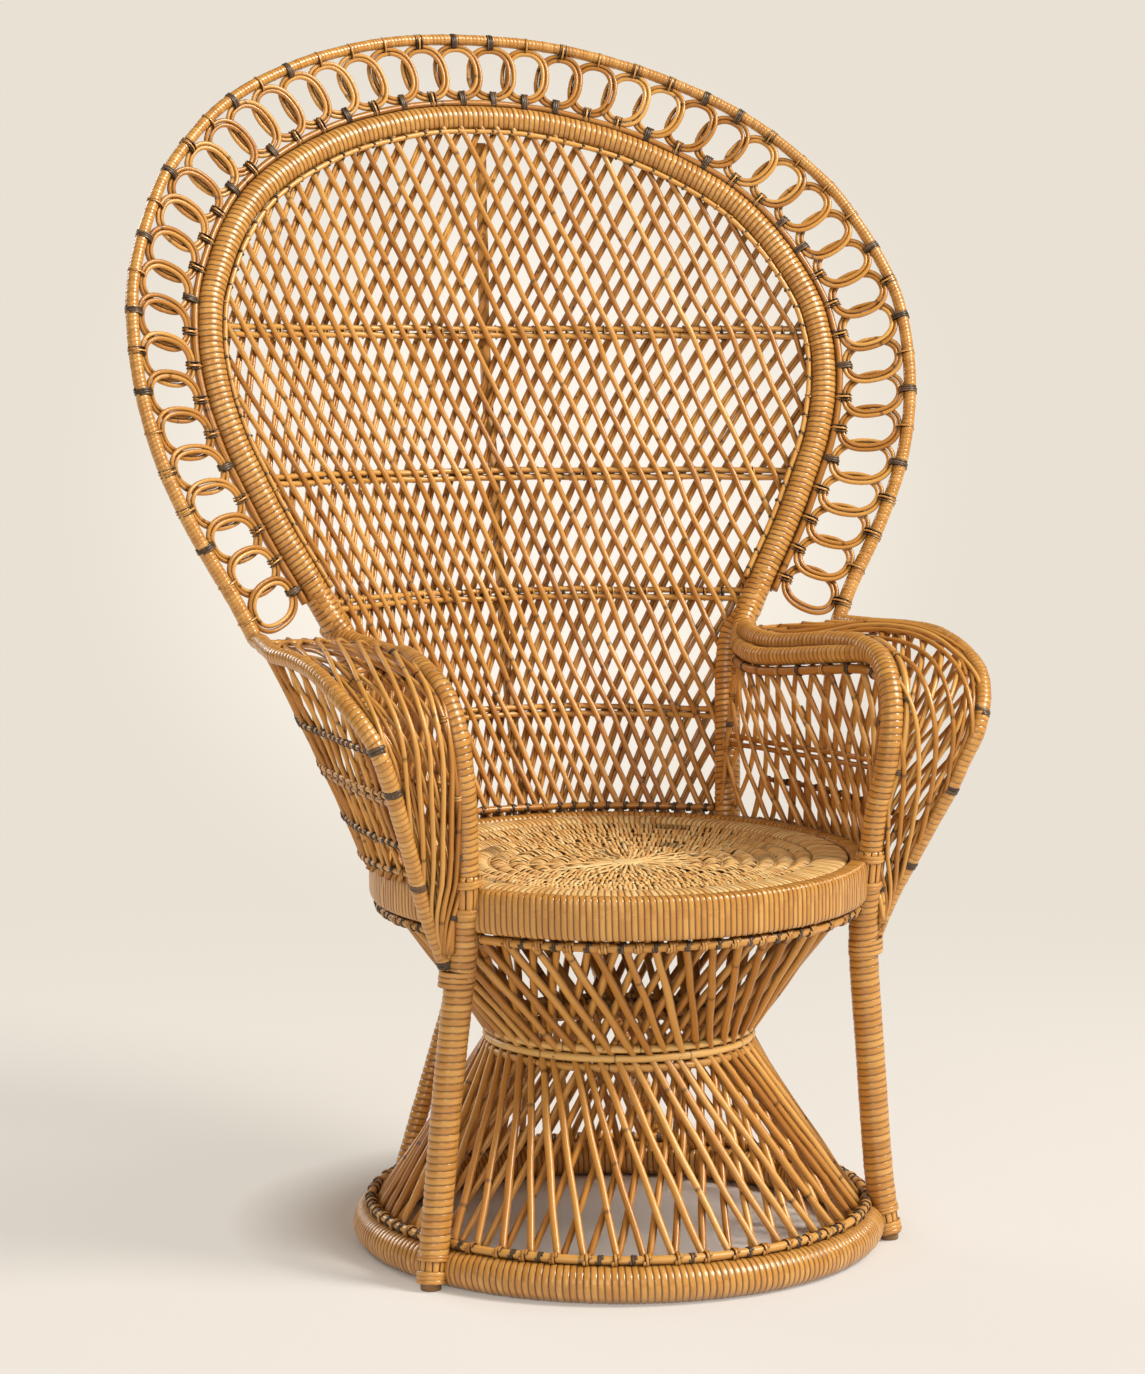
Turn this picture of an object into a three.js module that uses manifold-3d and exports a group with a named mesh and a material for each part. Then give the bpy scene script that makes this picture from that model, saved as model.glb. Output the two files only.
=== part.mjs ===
import * as THREE from "three";
import { mergeVertices } from "three/addons/utils/BufferGeometryUtils.js";
import Module from "manifold-3d";

const wasm = await Module();
wasm.setup();

// Sizes in millimetres: X runs right, Y back and Z up, from the seat's axis on the floor
const clearance = 0.3;
const weld = 0.001;

const seatHeight = 440;
const seatRadius = 281.3;
const rimDepth = 22;
const rimHeight = 47.5;
const rimRound = 7;
const panelDrop = 4;
const panelThickness = 8;
const panelBandRise = 1.5;
const braceWidth = 22;
const braceHeight = 12;
const braceOffset = 95;

const baseRadius = 281;
const baseTube = 20.5;
const lashTube = 5;
const waistRadius = 149.9;
const waistTube = 4.75;
const waistHeight = 235;
const seatLashRadius = 270;
const seatLashDrop = 9.5;

const stakeSize = 7.3;
const stakeLayer = 3;
const stakeFootRadius = 266;
const stakeCount = 12;
const stakeTwist = THREE.MathUtils.degToRad(22);

const legRadius = 16.3;
const kneeDrop = 40;
const plugRadius = 11;
const plugHeight = 12;
const rearLegRadius = 10;
const rearLegDrop = 16;
const rearPlugRadius = 8;

const postRadius = 14.3;
const postDrop = 44;
const postTopRise = 2;

const outerHoopTube = 7.5;
const outerHoopHalf = 489;
const outerHoopTop = 1384;
const garlandWidth = 98.5;
const garlandHeight = 98;
const innerHoopTube = 14.5;
const innerHoopHalf = outerHoopHalf - garlandWidth;
const innerHoopTop = outerHoopTop - garlandHeight;
const hoopFoot = 39;
const hoopRise = 432.4;
const hoopForward = 110.7;
const ringCane = 9;
const ringCount = 46;

const netThickness = 8;
const netRib = 13;
const netCell = 94;
const netCellHeight = 180;
const netSlack = 2;
const backRodTube = 5;
const slatWidth = 22;
const slatThickness = 3;
const slatDrop = 35;
const slatTopDrop = 24;

const armHeight = 670;
const armTube = 13;
const underTube = 11;
const underInward = 20;
const underDrop = 14;
const wingHalf = 400;
const wingRise = 7;
const wingDrop = 90;
const wingGap = 5.7;
const wingTube = 8.7;
const sideRodTube = 4.5;
const sideThickness = 6;
const sideRib = 11;
const sideCell = 108;
const sideCellHeight = 150;
const armSeatRadius = 286;
const sideSeatRadius = 290;
const sideSeatDrop = 34;
const wingBulge = 12;

// How uneven the handwork is, as a share of a cell's width
const handShare = 0.02;

const roundSides = 8;
const rodSides = 6;
const ringSides = 4;
const ringSegments = 32;

// Places of the legs and posts to the right and back, as shares of the seat's radius
const legFootShares = [0.97938, -0.4824];
const legKneeShares = [0.85318, -0.55101];
const legTopShares = [0.84607, -0.52257];
const rearLegFootShares = [0.65908, 0.90757];
const rearLegTopShares = [0.11376, 1.03377];
const postFootShares = [0.77746, 0.6406];

// A post's points above its foot: across the inner hoop's half, back from foot to top, and up to the arm
const postShares = [[0.589, 0.612, 0.478], [0.6146, 1.023, 0.913]];

// A post's top, across the inner hoop's half and back by the seat's radius
const postTopShares = [0.64533, 0.7963];

// Hand-chosen points along each hoop: across its half, and up from the arm or the wing to its top
const innerHoopShares = [
  [0.676, 0.0323], [0.745, 0.1136], [0.858, 0.2435], [0.95, 0.3733], [1, 0.5357], [0.983, 0.6332],
  [0.886, 0.763], [0.702, 0.8766], [0.433, 0.9578], [0.205, 0.9918],
];
const outerHoopShares = [
  [0.7505, -0.0028], [0.855, 0.1316], [0.951, 0.273], [0.996, 0.4145], [0.992, 0.5557], [0.914, 0.6974],
  [0.81, 0.7964], [0.63, 0.8953], [0.45, 0.9505], [0.2045, 0.9916],
];

// Points of the arm rail: forward from the post's top to the leg's, out by the seat's radius, and up
const armShares = [
  [0.0647, 0, 0.9957], [0.1725, -0.034, 0.9739], [0.3073, -0.0417, 0.9622], [0.442, -0.0138, 0.9652],
  [0.5903, 0.0434, 0.9913], [0.7251, 0.0857, 1], [0.841, 0.1058, 0.9826], [0.9272, 0.1034, 0.9387],
  [1.0027, 0.0851, 0.86], [1.0542, 0.0704, 0.7174], [1.0617, 0.0458, 0.4787], [1.0321, 0.0194, 0.2396],
];

// Points of the wing rail: out from the leg to the wing's half, back by the seat's radius, and up
const wingShares = [
  [0.8623, 0.391, 0.9969], [0.9565, 0.178, 1], [1, 0.018, 0.9939], [0.942, -0.142, 0.9847],
  [0.8913, -0.338, 0.9541], [0.8333, -0.527, 0.8899], [0.7536, -0.623, 0.8257], [0.6812, -0.673, 0.7645],
  [0.6159, -0.69, 0.6972], [0.529, -0.669, 0.6116], [0.3623, -0.605, 0.4281], [0.1957, -0.527, 0.2446],
  [0.058, -0.473, 0.0765], [0, -0.473, 0],
];

// The back rods' heights, as shares of the way from the seat to the inner hoop's crown
const backRodShares = [0.1596, 0.318, 0.4894, 0.6939];
const backRodHeights = backRodShares.map((up) => THREE.MathUtils.lerp(seatHeight, innerHoopTop, up));

// The lattice's middle line, as shares of the inner hoop's height: how far back, and how high
const latticeShares = [[0.2216, 0.3421], [0.2698, 0.4977], [0.3017, 0.661], [0.3235, 0.8243], [0.3406, 1]];

// A three.js geometry as one closed solid
function solid(geometry) {
  const bare = geometry.clone();
  bare.deleteAttribute("normal");
  bare.deleteAttribute("uv");
  const merged = mergeVertices(bare, weld);
  const triVerts = [];
  for (let i = 0; i < merged.index.count; i += 3) {
    const corners = [0, 1, 2].map((k) => merged.index.getX(i + k));
    if (new Set(corners).size === corners.length) triVerts.push(...corners);
  }
  const vertProperties = merged.getAttribute("position").array;
  return new wasm.Manifold(
    new wasm.Mesh({ numProp: 3, vertProperties, triVerts: new Uint32Array(triVerts) }),
  );
}

// A solid less every neighbour in a list
function without(piece, neighbours) {
  return neighbours.reduce((left, neighbour) => left.subtract(neighbour), piece);
}

// The corners of a regular polygon with a flat side below
function polygon(radius, sides) {
  const corners = [];
  for (let i = 0; i < sides; i += 1) {
    const turn = (2 * Math.PI * (i + 0.5)) / sides - Math.PI / 2;
    corners.push(new THREE.Vector2(radius * Math.cos(turn), radius * Math.sin(turn)));
  }
  return corners;
}

// A round rod swept along a curve
function sweep(curve, radius, sides, steps) {
  const shape = new THREE.Shape(polygon(radius, sides));
  return solid(new THREE.ExtrudeGeometry(shape, { steps, bevelEnabled: false, extrudePath: curve }));
}

// A profile of radius and height pairs turned about the seat's axis
function turned(profile, segments) {
  const closed = [...profile, profile[0]];
  return solid(new THREE.LatheGeometry(closed, segments).rotateX(Math.PI / 2));
}

// A round ring lying level, its flats outside so that they reach the full radius
function hoopRing(radius, height, tube, sides) {
  const reach = tube / Math.cos(Math.PI / sides);
  const profile = polygon(reach, sides).map((p) => new THREE.Vector2(radius + p.x, height + p.y));
  return turned(profile, ringSegments);
}

// A box that takes away all that lies below a height
function below(height) {
  const side = 4 * seatRadius;
  return solid(new THREE.BoxGeometry(side, side, side).translate(0, 0, height - side / 2));
}

// A point at a radius, a turn about the seat's axis and a height
function around(radius, turn, height) {
  return new THREE.Vector3(radius * Math.cos(turn), radius * Math.sin(turn), height);
}

// A point moved to the left side when the side is -1
function sided(point, side) {
  return new THREE.Vector3(side * point.x, point.y, point.z);
}

// The surface both hoops lie on, raked back and curled forward at the sides
function hoopDepth(x, z) {
  const curl = hoopForward * (x / outerHoopHalf) ** 2;
  return hoopFoot + (hoopRise * z) / outerHoopTop - curl;
}

// The points that the legs, posts and rails run through
const wingHeight = armHeight + wingRise;

function standing([across, back], height) {
  return new THREE.Vector3(across * seatRadius, back * seatRadius, height);
}

const legFoot = standing(legFootShares, 0);
const legKnee = standing(legKneeShares, seatHeight - kneeDrop);
const legTop = standing(legTopShares, seatHeight);
const rearLegFoot = standing(rearLegFootShares, 0);
const rearLegTop = standing(rearLegTopShares, seatHeight - rearLegDrop);
const postFoot = standing(postFootShares, seatHeight - postDrop);
const postTop = standing(postTopShares, armHeight + postTopRise);
postTop.x = postTopShares[0] * innerHoopHalf;
const [postWaist, postNeck] = postShares.map(([across, back, up]) => {
  const y = THREE.MathUtils.lerp(postFoot.y, postTop.y, back);
  return new THREE.Vector3(across * innerHoopHalf, y, THREE.MathUtils.lerp(seatHeight, armHeight, up));
});

// A whole hoop through the points of its right half
function hoopCurve(shares, half, bottom, top, feet) {
  const right = shares.map(([across, up]) => {
    const [x, z] = [across * half, THREE.MathUtils.lerp(bottom, top, up)];
    return new THREE.Vector3(x, hoopDepth(x, z), z);
  });
  const rising = [...feet, ...right];
  const crown = new THREE.Vector3(0, hoopDepth(0, top), top);
  const falling = rising.map((p) => sided(p, -1)).reverse();
  return new THREE.CatmullRomCurve3([...rising, crown, ...falling]);
}

const innerHoopCurve = hoopCurve(innerHoopShares, innerHoopHalf, armHeight, innerHoopTop, [postTop]);
const outerHoopCurve = hoopCurve(outerHoopShares, outerHoopHalf, wingHeight, outerHoopTop, []);
const innerSteps = 36;
const outerSteps = 44;

function innerHoop(grow = 0) {
  return sweep(innerHoopCurve, innerHoopTube + grow, roundSides, innerSteps);
}

function outerHoop(grow = 0) {
  return sweep(outerHoopCurve, outerHoopTube + grow, rodSides, outerSteps);
}

// The rod lashed round the outside of the inner hoop, away from the hoop's widest level
const hoopMiddleShare = 0.78;

function hoopLashRod(grow = 0) {
  const first = 2;
  const points = [];
  const middleHeight = hoopMiddleShare * innerHoopTop;
  const middle = new THREE.Vector3(0, hoopDepth(0, middleHeight), middleHeight);
  for (let i = first; i <= innerSteps - first; i += 1) {
    const at = innerHoopCurve.getPointAt(i / innerSteps);
    const along = innerHoopCurve.getTangentAt(i / innerSteps);
    const outward = at.clone().sub(middle).projectOnPlane(along).normalize();
    const behind = new THREE.Vector3().crossVectors(along, outward);
    const away = outward.projectOnPlane(behind).normalize();
    points.push(at.addScaledVector(away, innerHoopTube + sideRodTube + clearance));
  }
  const curve = new THREE.CatmullRomCurve3(points);
  return sweep(curve, sideRodTube + grow, rodSides, innerSteps - 2 * first);
}

// A polygon cut down to the part of it inside a convex window
function clipped(outline, window) {
  let kept = outline;
  for (let i = 0; i < window.length; i += 1) {
    const from = window[i];
    const edge = window[(i + 1) % window.length].clone().sub(from);
    const inside = (p) => edge.cross(p.clone().sub(from));
    const next = [];
    for (let k = 0; k < kept.length; k += 1) {
      const [a, b] = [kept[k], kept[(k + 1) % kept.length]];
      const [da, db] = [inside(a), inside(b)];
      if (da >= 0) next.push(a);
      if (da * db < 0) next.push(a.clone().lerp(b, da / (da - db)));
    }
    kept = next;
  }
  return kept;
}

// A diamond cell's corners about a centre
function diamond(centre, halfWidth, halfHeight) {
  const corners = [[1, 0], [0, 1], [-1, 0], [0, -1]];
  return corners.map(([x, y]) => new THREE.Vector2(centre.x + x * halfWidth, centre.y + y * halfHeight));
}

// Diamond cells that fill an outline, each with an opening parted from the next by a rib
function diamonds(outline, inner, width, height, rib) {
  const bounds = new THREE.Box2().setFromPoints(outline);
  const reach = (width * height) / 2 / Math.hypot(width, height);
  const size = 1 - rib / 2 / reach;
  const middle = bounds.getCenter(new THREE.Vector2());
  const columns = Math.ceil((bounds.max.x - middle.x) / (width / 2));
  const rows = Math.ceil((bounds.max.y - middle.y) / (height / 2));
  const cells = [];
  for (let i = -columns; i <= columns; i += 1) {
    for (let j = -rows; j <= rows; j += 1) {
      if ((i + j) % 2) continue;
      const centre = new THREE.Vector2(middle.x + (i * width) / 2, middle.y + (j * height) / 2);
      const outer = clipped(outline, diamond(centre, width / 2, height / 2));
      if (outer.length < 3) continue;
      centre.x += handShare * width * Math.sin(3 * i + 5 * j);
      const opening = clipped(inner, diamond(centre, (size * width) / 2, (size * height) / 2));
      const area = opening.length > 2 ? Math.abs(THREE.ShapeUtils.area(opening)) : 0;
      cells.push({ outer, openings: area > rib * rib ? [opening] : [] });
    }
  }
  return cells;
}

// The triangles between a cell's edge and its opening, turning round the opening's middle
function ringed(outer, opening) {
  const middle = new THREE.Vector2();
  opening.forEach((point) => middle.addScaledVector(point, 1 / opening.length));
  const turned = (points) => {
    const turns = points.map((point) => ({ point, turn: point.clone().sub(middle).angle() }));
    turns.sort((a, b) => a.turn - b.turn);
    return [...turns, { point: turns[0].point, turn: turns[0].turn + 2 * Math.PI }];
  };
  const [far, near] = [turned(outer), turned(opening)];
  const faces = [];
  let [i, j] = [0, 0];
  while (i < far.length - 1 || j < near.length - 1) {
    const farNext = far[i + 1]?.turn ?? Infinity;
    const nearNext = near[j + 1]?.turn ?? Infinity;
    const alongFar = farNext <= nearNext;
    const next = alongFar ? far[i + 1].point : near[j + 1].point;
    faces.push([far[i].point, next, near[j].point]);
    if (alongFar) i += 1;
    else j += 1;
  }
  return faces;
}

// A cell's triangles, ringed where the plain ones don't cover it
const coverShare = 0.999;

function filled(outer, openings) {
  const corners = [...outer, ...openings.flat()];
  const plain = THREE.ShapeUtils.triangulateShape(outer, openings);
  const faces = plain.map((face) => face.map((k) => corners[k]));
  const areaOf = (loop) => Math.abs(THREE.ShapeUtils.area(loop));
  const covered = faces.reduce((sum, face) => sum + areaOf(face), 0);
  const whole = openings.reduce((left, opening) => left - areaOf(opening), areaOf(outer));
  const even = covered > coverShare * whole && coverShare * covered < whole;
  return even || !openings.length ? faces : ringed(outer, openings[0]);
}

// A bent plate of flat cells with openings, placed on a surface at half a thickness each way
function plate(cells, thickness, place) {
  const flat = [];
  const indexOf = (point) => {
    const found = flat.findIndex((p) => p.distanceTo(point) < weld);
    return found < 0 ? flat.push(point) - 1 : found;
  };
  const faces = [];
  const edges = new Map();
  for (const { outer, openings } of cells) {
    for (const face of filled(outer, openings)) {
      const [a, b, c] = face.map(indexOf);
      if (a === b || b === c || c === a) continue;
      const turn = flat[b].clone().sub(flat[a]).cross(flat[c].clone().sub(flat[a]));
      const way = turn > 0 ? [a, b, c] : [a, c, b];
      faces.push(way);
      way.forEach((from, k) => edges.set(from + " " + way[(k + 1) % 3], [from, way[(k + 1) % 3]]));
    }
  }
  const index = faces.flatMap(([a, b, c]) => [a, b, c, a + flat.length, c + flat.length, b + flat.length]);
  for (const [from, to] of edges.values()) {
    if (edges.has(to + " " + from)) continue;
    const [low, far] = [from + flat.length, to + flat.length];
    index.push(from, low, far, from, far, to);
  }
  const sides = [thickness / 2, -thickness / 2];
  const points = sides.flatMap((w) => flat.map((p) => place(p.x, p.y, w)));
  return solid(new THREE.BufferGeometry().setFromPoints(points).setIndex(index));
}

// One ring's outer edge and opening, as shares of its pitch along and of the band's height up
const scallopShares = [[0, 0.16], [0.5, 0.03], [1, 0.16], [1, 0.84], [0.5, 0.97], [0, 0.84]];
const ringOpeningShares = [[0.83, 0.5], [0.69, 0.84], [0.31, 0.84], [0.17, 0.5], [0.31, 0.16], [0.69, 0.16]];

// A point of the garland's band between the lash rod and the outer hoop
function garlandPlace(ring, up, w) {
  const share = ring / ringCount;
  const inner = innerHoopCurve.getPointAt(share);
  const outer = outerHoopCurve.getPointAt(share);
  const along = outerHoopCurve.getTangentAt(share);
  const across = outer.sub(inner);
  const length = across.length();
  across.normalize();
  const facing = new THREE.Vector3().crossVectors(along, across).normalize();
  const low = innerHoopTube + 2 * sideRodTube + 2 * clearance;
  const high = length - outerHoopTube - clearance;
  return inner.addScaledVector(across, THREE.MathUtils.lerp(low, high, up)).addScaledVector(facing, w);
}

// The rings as one pierced band, scalloped at both edges where neighbouring rings cross
function ringGarland() {
  const cells = [];
  for (let i = 0; i < ringCount; i += 1) {
    const drift = handShare * Math.sin(3 * i);
    const outer = scallopShares.map(([along, up]) => new THREE.Vector2(i + along, up));
    const opening = ringOpeningShares.map(([along, up]) => new THREE.Vector2(i + along, up + drift));
    cells.push({ outer, openings: [opening] });
  }
  return without(plate(cells, ringCane, garlandPlace), [hoopLashRod(clearance), outerHoop(clearance)]);
}

// The base: floor ring, waist hoops, lash rings and two nets of crossing stakes
function baseRing(grow = 0) {
  return hoopRing(baseRadius, baseTube, baseTube + grow, roundSides);
}

function baseLashRing() {
  return hoopRing(baseRadius, 2 * baseTube + lashTube + clearance, lashTube, ringSides);
}

function waistHoop(level) {
  const height = waistHeight + level * (2 * waistTube + clearance);
  return hoopRing(waistRadius, height, waistTube, ringSides);
}

function seatLashRing() {
  const ring = hoopRing(seatLashRadius, seatHeight - rimHeight - seatLashDrop, lashTube, ringSides);
  return without(ring, [frontLeg(1, clearance), frontLeg(-1, clearance)]);
}

// Two layers of straight stakes leaning opposite ways and joined where they cross
function stakes(lowRadius, lowHeight, highRadius, highHeight) {
  let net = null;
  for (const layer of [1, -1]) {
    for (let i = 0; i < stakeCount; i += 1) {
      const turn = ((i + 0.25 * layer) * 2 * Math.PI) / stakeCount;
      const lean = (layer * stakeTwist) / 2;
      const low = around(lowRadius + layer * stakeLayer, turn + lean, lowHeight);
      const high = around(highRadius + layer * stakeLayer, turn - lean, highHeight);
      const bar = sweep(new THREE.LineCurve3(low, high), (stakeSize / 2) * Math.SQRT2, 4, 1);
      net = net ? net.add(bar) : bar;
    }
  }
  return net;
}

// The stakes' middle radius where their outer layer touches the inside of a ring
function insideRing(radius, tube) {
  const inner = (radius - tube) * Math.cos(Math.PI / ringSegments);
  return inner - clearance - stakeLayer - stakeSize / Math.SQRT2;
}

function lowerStakes() {
  const high = waistHeight - 3 * waistTube - clearance - stakeSize / 2;
  const net = stakes(stakeFootRadius, 2 * baseTube - stakeSize / 2, waistRadius - waistTube, high);
  return net.subtract(baseRing(clearance));
}

function upperStakes() {
  const low = waistHeight + 3 * waistTube + clearance + stakeSize / 2;
  const high = seatHeight - rimHeight - stakeSize / Math.SQRT2;
  return stakes(waistRadius - waistTube, low, insideRing(seatLashRadius, lashTube), high);
}

// The seat: a rounded rim with a woven panel resting on two braces
function seatRimRing(grow = 0) {
  const outer = seatRadius + grow;
  const inner = seatRadius - rimDepth - grow;
  const top = seatHeight + grow;
  const bottom = seatHeight - rimHeight - grow;
  const profile = [
    [inner, bottom + rimRound], [inner + rimRound, bottom], [outer - rimRound, bottom],
    [outer, bottom + rimRound], [outer, top - rimRound], [outer - rimRound, top],
    [inner + rimRound, top], [inner, top - rimRound],
  ];
  return turned(profile.map(([x, y]) => new THREE.Vector2(x, y)), ringSegments);
}

function seatPanel() {
  const edge = seatRadius - rimDepth - clearance;
  const top = seatHeight - panelDrop;
  const bandShares = [0.83, 0.96];
  const profile = [
    [0, top - panelThickness], [edge, top - panelThickness], [edge, top],
    [bandShares[1] * edge, top + panelBandRise], [bandShares[0] * edge, top + panelBandRise],
    [bandShares[0] * edge, top], [0, top],
  ];
  return turned(profile.map(([x, y]) => new THREE.Vector2(x, y)), ringSegments);
}

function seatBrace(side) {
  const inner = seatRadius - rimDepth - clearance;
  const far = braceOffset + braceWidth / 2;
  const length = 2 * Math.sqrt((inner * Math.cos(Math.PI / ringSegments)) ** 2 - far ** 2);
  const top = seatHeight - panelDrop - panelThickness - clearance;
  const bar = new THREE.BoxGeometry(length, braceWidth, braceHeight);
  return solid(bar.translate(0, side * braceOffset, top - braceHeight / 2));
}

// Legs and posts, each standing on or ending at a named point
function frontLeg(side, grow = 0) {
  const points = [legFoot, legKnee, legTop].map((p) => sided(p, side));
  const leg = sweep(new THREE.CatmullRomCurve3(points), legRadius + grow, roundSides, 5);
  return leg.subtract(below(plugHeight + clearance - grow));
}

function rearLeg() {
  const leg = sweep(new THREE.LineCurve3(rearLegFoot, rearLegTop), rearLegRadius, roundSides, 1);
  return leg.subtract(below(plugHeight + clearance));
}

function footPlug(foot, radius, side = 1, grow = 0) {
  const plug = new THREE.CylinderGeometry(radius + grow, radius + grow, plugHeight + 2 * grow, 2 * rodSides);
  return solid(plug.rotateX(Math.PI / 2).translate(side * foot.x, foot.y, plugHeight / 2));
}

function backPost(side, grow = 0) {
  const points = [postFoot, postWaist, postNeck, postTop].map((p) => sided(p, side));
  return sweep(new THREE.CatmullRomCurve3(points), postRadius + grow, roundSides, 6);
}

function joinedPost() {
  return backPost(1).subtract(innerHoop(clearance));
}

// The seat rim and base ring, notched where the legs and posts are let in
function seatRim() {
  const neighbours = [1, -1].flatMap((side) => [frontLeg(side, clearance), backPost(side, clearance)]);
  return without(seatRimRing(), neighbours);
}

function notchedBaseRing() {
  const plugs = [1, -1].map((side) => footPlug(legFoot, plugRadius, side, clearance));
  return without(baseRing(), [frontLeg(1, clearance), frontLeg(-1, clearance), ...plugs]);
}

// Rails of the right arm; the left ones are their mirror images
const armTop = legTop.clone().setZ(seatHeight + clearance);
const armPoints = armShares.map(([forward, out, up]) => {
  const point = postTop.clone().lerp(legTop, forward);
  point.x += out * seatRadius;
  return point.setZ(THREE.MathUtils.lerp(seatHeight, armHeight, up));
});
const armCurve = new THREE.CatmullRomCurve3([...armPoints, armTop]);
const wingInner = legKnee.x + legRadius + wingGap;
const wingPoints = wingShares.map(([out, back, up]) => {
  const x = THREE.MathUtils.lerp(wingInner, wingHalf, out);
  return new THREE.Vector3(x, back * seatRadius, THREE.MathUtils.lerp(seatHeight - wingDrop, wingHeight, up));
});
const wingCurve = new THREE.CatmullRomCurve3([outerHoopCurve.getPoint(0), ...wingPoints]);
const armSteps = 17;
const wingSteps = 20;

function armRail() {
  const rail = sweep(armCurve, armTube, roundSides, armSteps);
  return without(rail, [backPost(1, clearance), innerHoop(clearance), frontLeg(1, clearance)]);
}

// The rail under and inside the arm rail, turning down behind the front leg's head
const underShares = [0.04, 0.14, 0.26, 0.38, 0.5, 0.57, 0.63, 0.7, 0.79, 0.88];
const underTurnShares = [0.5, 0.72];

function underCurve() {
  const points = [];
  for (const share of underShares) {
    const at = armCurve.getPointAt(share);
    const down = THREE.MathUtils.smoothstep(share, ...underTurnShares);
    at.x -= underInward;
    at.y += down * underInward;
    at.z -= (1 - down) * underDrop;
    points.push(at);
  }
  return new THREE.CatmullRomCurve3(points);
}

function armUnderRail() {
  const rail = sweep(underCurve(), underTube, rodSides, 16);
  const posts = [backPost(1, clearance), frontLeg(1, clearance), innerHoop(clearance)];
  return without(rail, [...posts, sweep(armCurve, armTube + clearance, roundSides, armSteps)]);
}

function wingRail() {
  const rail = sweep(wingCurve, wingTube, rodSides, wingSteps);
  return without(rail, [outerHoop(clearance), frontLeg(1, clearance)]);
}

// The right edge of the back's lattice: the post, then the inner hoop up to its crown
const edgePoints = [];
for (const point of [postFoot, postWaist, postNeck]) edgePoints.push(point);
for (let i = 1; 2 * i <= innerSteps; i += 1) edgePoints.push(innerHoopCurve.getPointAt(i / innerSteps));

const latticeLine = new THREE.SplineCurve(
  latticeShares.map(([back, up]) => new THREE.Vector2(up * innerHoopTop, back * innerHoopTop)),
);

// How far back the lattice's middle line is at a height
function latticeMiddle(z) {
  const points = latticeLine.getPoints(innerSteps);
  const next = Math.max(1, points.findIndex((p) => p.x >= z));
  const [a, b] = [points[next - 1], points[next]];
  return THREE.MathUtils.mapLinear(z, a.x, b.x, a.y, b.y);
}

// The lattice bellies back between its edges
function latticeDepth(x, z) {
  const found = edgePoints.findIndex((p) => p.z >= z);
  const next = found < 1 ? edgePoints.length - 1 : found;
  const [a, b] = [edgePoints[next - 1], edgePoints[next]];
  const share = THREE.MathUtils.clamp((z - a.z) / (b.z - a.z), 0, 1);
  const edge = a.clone().lerp(b, share);
  const ratio = Math.min(1, Math.abs(x) / Math.max(edge.x, innerHoopTube));
  return edge.y + (latticeMiddle(z) - edge.y) * (1 - ratio ** 2);
}

// The lattice's flat outline, set in from the posts and the hoop by one distance
function netOutline(inset) {
  const bottom = seatHeight + inset - innerHoopTube;
  const right = [];
  const edge = edgePoints.map((p) => new THREE.Vector2(p.x, p.z));
  edge.forEach((point, i) => {
    const before = edge[Math.max(0, i - 1)];
    const after = edge[Math.min(edge.length - 1, i + 1)];
    const along = after.clone().sub(before).normalize();
    const inward = new THREE.Vector2(-along.y, along.x);
    const at = point.clone().addScaledVector(inward, inset);
    if (at.y > bottom && at.x > 0) right.push(at);
  });
  const foot = right[0].clone();
  foot.x -= ((foot.y - bottom) * (postWaist.x - postFoot.x)) / (postWaist.z - postFoot.z);
  foot.y = bottom;
  const half = [foot, ...right];
  const other = half.map((p) => new THREE.Vector2(-p.x, p.y)).reverse();
  return [...half, ...other];
}

function backNet(grow = 0) {
  const inset = innerHoopTube + clearance;
  const outline = netOutline(inset);
  const cells = diamonds(outline, netOutline(inset + netRib / 2), netCell, netCellHeight, netRib);
  const place = (x, z, w) => new THREE.Vector3(x, latticeDepth(x, z) - w, z);
  return plate(cells, netThickness + 2 * grow, place);
}

function backNeighbours() {
  return [backNet(clearance), innerHoop(clearance), backPost(1, clearance), backPost(-1, clearance)];
}

// A level rod behind the lattice, from one edge to the other
function backRod(height) {
  const half = 8;
  const reach = edgePoints.find((p) => p.z >= height).x;
  const offset = netThickness / 2 + netSlack + backRodTube;
  const points = [];
  for (let i = -half; i <= half; i += 1) {
    const x = (i * reach) / half;
    points.push(new THREE.Vector3(x, latticeDepth(x, height) + offset, height));
  }
  const rod = sweep(new THREE.CatmullRomCurve3(points), backRodTube, rodSides, 2 * half);
  return without(rod, backNeighbours());
}

// The rod that runs round the back of the seat rim, from post to post
function backBottomRod() {
  const radius = seatRadius + clearance + lashTube / Math.cos(Math.PI / rodSides);
  const height = seatHeight - lashTube - clearance;
  const points = [];
  const start = Math.atan2(postFoot.y, postFoot.x);
  const steps = 16;
  for (let i = 0; i <= steps; i += 1) {
    points.push(around(radius, THREE.MathUtils.lerp(start, Math.PI - start, i / steps), height));
  }
  const rod = sweep(new THREE.CatmullRomCurve3(points), lashTube, rodSides, steps);
  return without(rod, [...backNeighbours(), seatRimRing(clearance)]);
}

// The upright slat behind the rods
function backSlat() {
  const front = netThickness / 2 + netSlack + 2 * backRodTube + clearance;
  const steps = 10;
  const [near, far] = [[], []];
  for (let i = 0; i <= steps; i += 1) {
    const z = THREE.MathUtils.lerp(seatHeight - slatDrop, innerHoopTop - slatTopDrop, i / steps);
    const y = latticeMiddle(z) + front;
    near.push(new THREE.Vector2(y, z));
    far.unshift(new THREE.Vector2(y + slatThickness, z));
  }
  const shape = new THREE.Shape([...far, ...near]);
  const flat = new THREE.ExtrudeGeometry(shape, { depth: slatWidth, bevelEnabled: false, steps: 1 });
  const turn = new THREE.Matrix4().set(0, 0, 1, -slatWidth / 2, 1, 0, 0, 0, 0, 1, 0, 0, 0, 0, 0, 1);
  const slat = solid(flat.applyMatrix4(turn));
  const rods = backRodHeights.map((height) => backRod(height));
  return without(slat, [innerHoop(clearance), backNet(clearance), ...rods]);
}

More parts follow.
